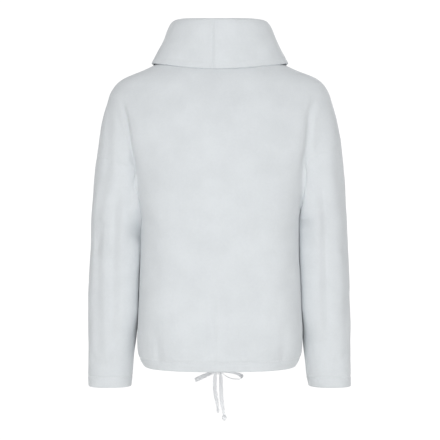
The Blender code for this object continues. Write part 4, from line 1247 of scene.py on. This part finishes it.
def sewLine(points, normals, pitch, share, thickness):
    # Stitches as small flattened beads of thread: the centres, ways, outward directions and half sizes
    length = np.concatenate([[0], np.cumsum(np.linalg.norm(np.diff(points, axis=0), axis=1))])
    places = np.arange(pitch, length[-1] - pitch, pitch)
    stitches = []
    for place in places:
        ends = []
        for along in (place - pitch * share / 2, place + pitch * share / 2):
            ends.append(np.array([np.interp(along, length, points[:, i]) for i in range(3)]))
        out = np.array([np.interp(place, length, normals[:, i]) for i in range(3)])
        out /= np.linalg.norm(out)
        stitches.append((ends[0], ends[1], out, thickness))
    return stitches


def makeStitches(name, stitches):
    points, faces = [], []
    for start, end, out, thickness in stitches:
        way = (end - start) / np.linalg.norm(end - start)
        side = np.cross(way, out)
        first = len(points)
        for share, swell, lift in ((0.0, 0.35, -0.5), (0.2, 0.9, 0.1), (0.8, 0.9, 0.1), (1.0, 0.35, -0.5)):
            centre = start + (end - start) * share + out * thickness * (lift + 0.25)
            for turn in range(6):
                angle = tau * turn / 6
                points.append(centre + (side * cos(angle) + out * sin(angle) * 0.8) * thickness / 2 * swell)
        for ring in range(3):
            for turn in range(6):
                a = first + ring * 6 + turn
                b = first + ring * 6 + (turn + 1) % 6
                faces.append((a, b, b + 6, a + 6))
        faces.append(tuple(first + i for i in range(5, -1, -1)))
        faces.append(tuple(first + 18 + i for i in range(6)))
    data = bpy.data.meshes.new(name)
    data.from_pydata([tuple(p) for p in points], [], faces)
    data.materials.append(thread)
    data.shade_smooth()
    piece = bpy.data.objects.new(name, data)
    bpy.context.scene.collection.objects.link(piece)
    return showAs(piece, [])


def panelRow(level):
    # The grid row of a body panel that lies nearest to a height above the hem
    columns = 2 * len(columnSteps) - 1
    row = int(np.argmin(np.abs(hemHeights - level)))
    return range(row * columns, (row + 1) * columns)


def cuffRow(piece, level):
    columns = 2 * (len(armSteps) - 1)
    rows = len(piece.data.vertices) // 2 // columns
    row = rows - 1 - int(np.argmin(np.abs(cuffHeights - level)))
    return range(row * columns, (row + 1) * columns)


def buttonhole(piece, x, z, halfWidth, halfHeight):
    # Close stitches across the edge of a slit, all round it
    corners = [vertex.co for vertex in piece.data.vertices]
    tree = BVHTree.FromPolygons(corners, [face.vertices for face in piece.data.polygons])
    stitches = []
    for turn in np.linspace(0, tau, 34, endpoint=False):
        ends = []
        for share in (0.55, 1.0):
            rise = halfHeight * (share + 0.3) / 1.3
            above = Vector((x + halfWidth * share * cos(turn), -0.3, z + rise * sin(turn)))
            ends.append(np.array(tree.ray_cast(above, Vector((0, 1, 0)))[0]))
        stitches.append((ends[0], ends[1], np.array((0.0, -1.0, 0.0)), 0.0007))
    return stitches


sewing = {"pitch": 0.0029, "share": 0.78, "thickness": 0.00055}
for panel, name in ((backPanel, "hem_stitches_back"), (frontPanel, "hem_stitches_front")):
    stitches = []
    for level in (0.0172, 0.0196):
        points, normals = stitchesOn(panel, panelRow(level), False)
        stitches += sewLine(points, normals, sewing["pitch"], sewing["share"], sewing["thickness"])
    if panel is frontPanel:
        for side in (1, -1):
            stitches += buttonhole(panel, side * 0.0134, -0.6120, 0.0034, 0.0062)
    makeStitches(name, stitches)
for sleeve, name in ((leftSleeve, "cuff_stitches_left"), (rightSleeve, "cuff_stitches_right")):
    stitches = []
    for level in (0.0205, 0.0228):
        points, normals = stitchesOn(sleeve, cuffRow(sleeve, level), True)
        stitches += sewLine(points, normals, sewing["pitch"], sewing["share"], sewing["thickness"])
    makeStitches(name, stitches)

# Drawstring: one flat cotton tape that comes out of the channel's two buttonholes in front

tapeLook = {
    "colour": "#f6f7f9",
    "shaded_colour": "#eceef1",
    "roughness": 0.72,
    "rib": 1 / 0.0009,  # weft ribs, 0.9 mm
    "height": 0.00018,
}
tapeWidth = 0.0088
tapeThickness = 0.0014
cottonTape, tapeShader = newMaterial("cotton tape, plain woven")
tapePlaces = addNode(cottonTape, "ShaderNodeTexCoord", {}, {})
tapeRibs = addNode(cottonTape, "ShaderNodeTexWave",
                   {"wave_type": "BANDS", "bands_direction": "X",
                     "Scale": tapeLook["rib"] / 20, "Distortion": 0.6,
                    "Detail": 1.0},
                   {"Vector": tapePlaces.outputs["UV"]})
tapeYarn = addNode(cottonTape, "ShaderNodeTexNoise", {"Scale": 1 / 0.0006, "Detail": 2.0},
                   {"Vector": tapePlaces.outputs["Object"]})
# Ribs across the tape and fuzz of single yarns make it read as woven and not as a strip of plastic
tapeHeight = addNode(cottonTape, "ShaderNodeMath", {"operation": "MULTIPLY_ADD", 1: 0.7},
                     {0: tapeRibs.outputs["Fac"], 2: tapeYarn.outputs["Fac"]})
tapeBump = addNode(cottonTape, "ShaderNodeBump", {"Strength": 0.6, "Distance": tapeLook["height"]},
                   {"Height": tapeHeight.outputs["Value"]})
tapeTone = addNode(cottonTape, "ShaderNodeMix", {"data_type": "RGBA"}, {"Factor": tapeYarn.outputs["Fac"]})
tapeTone.inputs[6].default_value = linearColour(tapeLook["shaded_colour"])
tapeTone.inputs[7].default_value = linearColour(tapeLook["colour"])
cottonTape.node_tree.links.new(tapeTone.outputs[2], tapeShader.inputs["Base Color"])
cottonTape.node_tree.links.new(tapeBump.outputs["Normal"], tapeShader.inputs["Normal"])
tapeShader.inputs["Roughness"].default_value = tapeLook["roughness"]
tapeShader.inputs["Sheen Weight"].default_value = 0.1


def makeTape(name, path, widths, flatWay, twists=()):
    # A flat woven tape along a path. widths are (share of the length, width) pairs, flatWay is the
    # direction that its face looks in, and twists are (share, degrees) pairs that turn the face
    count = max(24, int(np.linalg.norm(np.diff(smoothPath(path, 60), axis=0), axis=1).sum() / 0.0011))
    line = smoothPath(path, count)
    along = np.gradient(line, axis=0)
    along /= np.linalg.norm(along, axis=1, keepdims=True)
    shares = np.linspace(0, 1, count)
    width = curveThrough([share for share, size in widths], [size for share, size in widths])(shares)
    turn = np.zeros(count)
    if twists:
        places = [share for share, angle in twists]
        angles = [angle for share, angle in twists]
        turn = np.radians(curveThrough(places, angles)(shares))
    out = np.empty((count, 3))
    facing = np.asarray(flatWay, float)
    for i in range(count):
        # the face turns with the tape, as a strip does, and isn't set anew at each point
        facing = facing - along[i] * (facing @ along[i])
        facing /= np.linalg.norm(facing)
        out[i] = facing
    across = np.cross(along, out)
    face = out * np.cos(turn)[:, None] + across * np.sin(turn)[:, None]
    across = np.cross(along, face)
    # half of the tape's cross-section, a flat strip with rolled selvedges
    section = [(1.0, 0.0), (0.96, 0.62), (0.86, 0.95), (0.60, 0.92), (0.30, 1.0), (0.0, 1.0)]
    section += [(-a, b) for a, b in section[-2::-1]]
    section += [(a, -b) for a, b in section[-2:0:-1]]
    ring = len(section)
    points = []
    for i in range(count):
        for a, b in section:
            # where the tape is drawn together its middle lifts
            fold = (tapeWidth - width[i]) * 0.16 * (1 - a * a)
            points.append(line[i] + across[i] * a * width[i] / 2 + face[i] * (b * tapeThickness / 2 + fold))
    faces = []
    for i in range(count - 1):
        for k in range(ring):
            m = (k + 1) % ring
            faces.append((i * ring + k, i * ring + m, (i + 1) * ring + m, (i + 1) * ring + k))
    faces.append(tuple(range(ring - 1, -1, -1)))
    faces.append(tuple((count - 1) * ring + k for k in range(ring)))
    data = bpy.data.meshes.new(name)
    data.from_pydata([tuple(p) for p in points], [], faces)
    lengths = np.concatenate([[0], np.cumsum(np.linalg.norm(np.diff(line, axis=0), axis=1))])
    places = data.uv_layers.new(name="tape")
    for polygon in data.polygons:
        for corner, vertex in zip(polygon.loop_indices, polygon.vertices):
            places.data[corner].uv = (lengths[vertex // ring], (vertex % ring) / ring * tapeWidth)
    data.materials.append(cottonTape)
    data.shade_smooth()
    piece = bpy.data.objects.new(name, data)
    bpy.context.scene.collection.objects.link(piece)
    return piece, line, float(lengths[-1])


def makeTube(name, line, radius, closed):
    # A soft round strand along points, such as the twisted tape inside a small knot
    count = len(line)
    along = np.roll(line, -1, axis=0) - np.roll(line, 1, axis=0) if closed else np.gradient(line, axis=0)
    along /= np.linalg.norm(along, axis=1, keepdims=True)
    side = np.cross(along[0], (0.3, 0.2, 0.9))
    points, faces = [], []
    for i in range(count):
        side = side - along[i] * (side @ along[i])
        side /= np.linalg.norm(side)
        up = np.cross(along[i], side)
        for k in range(10):
            angle = tau * k / 10
            points.append(line[i] + (side * cos(angle) + up * sin(angle)) * radius)
    for i in range(count if closed else count - 1):
        n = (i + 1) % count
        for k in range(10):
            m = (k + 1) % 10
            faces.append((i * 10 + k, i * 10 + m, n * 10 + m, n * 10 + k))
    if not closed:
        faces.append(tuple(range(9, -1, -1)))
        faces.append(tuple((count - 1) * 10 + k for k in range(10)))
    data = bpy.data.meshes.new(name)
    data.from_pydata([tuple(p) for p in points], [], faces)
    data.materials.append(cottonTape)
    data.shade_smooth()
    piece = bpy.data.objects.new(name, data)
    bpy.context.scene.collection.objects.link(piece)
    return piece


def endKnot(name, place, halfSize, node):
    # A small overhand knot, drawn tight: a trefoil of the twisted tape
    t = np.linspace(0, tau, 72, endpoint=False)
    trefoil = np.column_stack([np.sin(t) + 2 * np.sin(2 * t), -np.sin(3 * t), np.cos(t) - 2 * np.cos(2 * t)])
    trefoil /= np.abs(trefoil).max(axis=0)
    radius = min(halfSize) * 0.74
    line = np.asarray(place) + trefoil * (np.asarray(halfSize) - radius)
    return showAs(makeTube(name, line, radius, True), [node])


bowPlace = Vector((0.0040, -0.1280, -0.6526))
strands = {
    "left": {
        "path": [(0.0135, -0.1230, -0.6110), (0.0131, -0.1213, -0.6180), (0.0125, -0.1210, -0.6240),
                 (0.0108, -0.1240, -0.6350), (0.0078, -0.1272, -0.6465), (0.0070, -0.1282, -0.6530),
                 (0.0098, -0.1290, -0.6591), (0.0106, -0.1292, -0.6680), (0.0112, -0.1292, -0.6800),
                 (0.0108, -0.1285, -0.6930), (0.0088, -0.1280, -0.7070), (0.0062, -0.1275, -0.7210),
                 (0.0046, -0.1270, -0.7330)],
        "widths": [(0, 0.0084), (0.20, 0.0080), (0.30, 0.0048), (0.38, 0.0048), (0.46, 0.0084),
                   (0.62, 0.0088), (0.88, 0.0080), (0.97, 0.0060), (1, 0.0052)],
        "twists": [(0, 0), (0.28, 10), (0.45, 4), (0.7, -16), (0.9, 22), (1, 40)],
        "end": (0.0044, -0.1270, -0.7369), "end_size": (0.0034, 0.0034, 0.0056),
    },
    "right": {
        "path": [(-0.0135, -0.1230, -0.6110), (-0.0130, -0.1213, -0.6180), (-0.0118, -0.1210, -0.6240),
                 (-0.0070, -0.1240, -0.6350), (-0.0004, -0.1272, -0.6465), (0.0006, -0.1270, -0.6530),
                 (-0.0012, -0.1262, -0.6590), (-0.0018, -0.1258, -0.6690), (-0.0021, -0.1258, -0.6820),
                 (-0.0024, -0.1262, -0.6960), (-0.0032, -0.1266, -0.7110), (-0.0052, -0.1268, -0.7260),
                 (-0.0078, -0.1268, -0.7400), (-0.0088, -0.1268, -0.7480)],
        "widths": [(0, 0.0084), (0.16, 0.0080), (0.27, 0.0048), (0.35, 0.0048), (0.43, 0.0078),
                   (0.60, 0.0092), (0.80, 0.0086), (0.93, 0.0062), (1, 0.0056)],
        "twists": [(0, 0), (0.25, -12), (0.45, -14), (0.65, -8), (0.85, 10), (1, 24)],
        "end": (-0.0092, -0.1268, -0.7526), "end_size": (0.0050, 0.0044, 0.0066),
    },
}
loops = {
    "left": {
        "path": [(0.0112, -0.1296, -0.6545), (0.0190, -0.1330, -0.6577), (0.0300, -0.1362, -0.6626),
                 (0.0420, -0.1365, -0.6679), (0.0500, -0.1345, -0.6712), (0.0530, -0.1285, -0.6718),
                 (0.0500, -0.1225, -0.6700), (0.0420, -0.1205, -0.6662), (0.0300, -0.1208, -0.6607),
                 (0.0190, -0.1235, -0.6560), (0.0112, -0.1266, -0.6538)],
        "widths": [(0, 0.0060), (0.12, 0.0082), (0.30, 0.0092), (0.70, 0.0092), (0.90, 0.0080), (1, 0.0060)],
        "twists": [(0, 4), (0.3, 4), (0.5, 2), (0.7, 0), (1, -6)],
    },
    "right": {
        "path": [(-0.0032, -0.1296, -0.6535), (-0.0129, -0.1335, -0.6546), (-0.0236, -0.1362, -0.6563),
                 (-0.0343, -0.1362, -0.6586), (-0.0430, -0.1345, -0.6618), (-0.0474, -0.1285, -0.6650),
                 (-0.0440, -0.1225, -0.6684), (-0.0343, -0.1205, -0.6688), (-0.0236, -0.1205, -0.6672),
                 (-0.0129, -0.1228, -0.6624), (-0.0032, -0.1266, -0.6552)],
        "widths": [(0, 0.0050), (0.15, 0.0052), (0.30, 0.0052), (0.42, 0.0078), (0.50, 0.0090),
                   (0.58, 0.0078), (0.70, 0.0060), (0.88, 0.0056), (1, 0.0050)],
        "twists": [(0, -8), (0.3, -6), (0.5, 0), (0.7, -4), (1, -8)],
    },
}

# the knot: a lump of crossed tape with one turn of the tape laid tightly round it
bpy.ops.mesh.primitive_uv_sphere_add(segments=40, ring_count=24, radius=1, location=(0, 0, 0))
bow = bpy.context.object
bow.name = "bow_lump"
bowHalfSize = (0.0078, 0.0046, 0.0054)
for vertex in bow.data.vertices:
    x, y, z = vertex.co
    dent = 1 - 0.10 * cos(3 * x + 5 * z) * (1 - x * x) - 0.06 * cos(9 * z + 2 * x)
    vertex.co = (bowPlace.x + x * bowHalfSize[0] * dent, bowPlace.y + y * bowHalfSize[1] * dent,
                 bowPlace.z + z * bowHalfSize[2] * dent)
bow.data.materials.append(cottonTape)
bow.data.shade_smooth()
turnLine = []
for share in np.linspace(0.02, 0.98, 48):
    angle = tau * share + 0.6
    turnLine.append((bowPlace.x + 0.0012 + 0.0016 * (share - 0.5), bowPlace.y - 0.0051 * cos(angle),
                     bowPlace.z + 0.0062 * sin(angle)))
wrap = makeTape("bow_turn", turnLine, [(0, 0.0062), (0.5, 0.0070), (1, 0.0062)],
                (0, -cos(0.72), sin(0.72)))[0]
for other in list(bpy.context.selected_objects):
    other.select_set(False)
wrap.select_set(True)
bow.select_set(True)
bpy.context.view_layer.objects.active = bow
bpy.ops.object.join()
bow.name = "bow_knot_tied"
showAs(bow, ["bow_knot"])

for side, strand in strands.items():
    tapePiece, line, length = makeTape("tape_" + side, strand["path"], strand["widths"], (0, 1, 0),
                                       strand["twists"])
    showAs(tapePiece, ["tape_lead_" + side, "tape_tail_" + side])
    knotPiece = endKnot("tape_end_knot_" + side, strand["end"], strand["end_size"], "tape_end_" + side)
    print("tape", side, round(length, 4))
for side, loop in loops.items():
    tapePiece, line, length = makeTape("bow_" + side, loop["path"], loop["widths"], (0, -1, 0),
                                       loop["twists"])
    showAs(tapePiece, ["bow_loop_" + side])
    print("bow loop", side, round(length, 4))
print("drawstring ready")
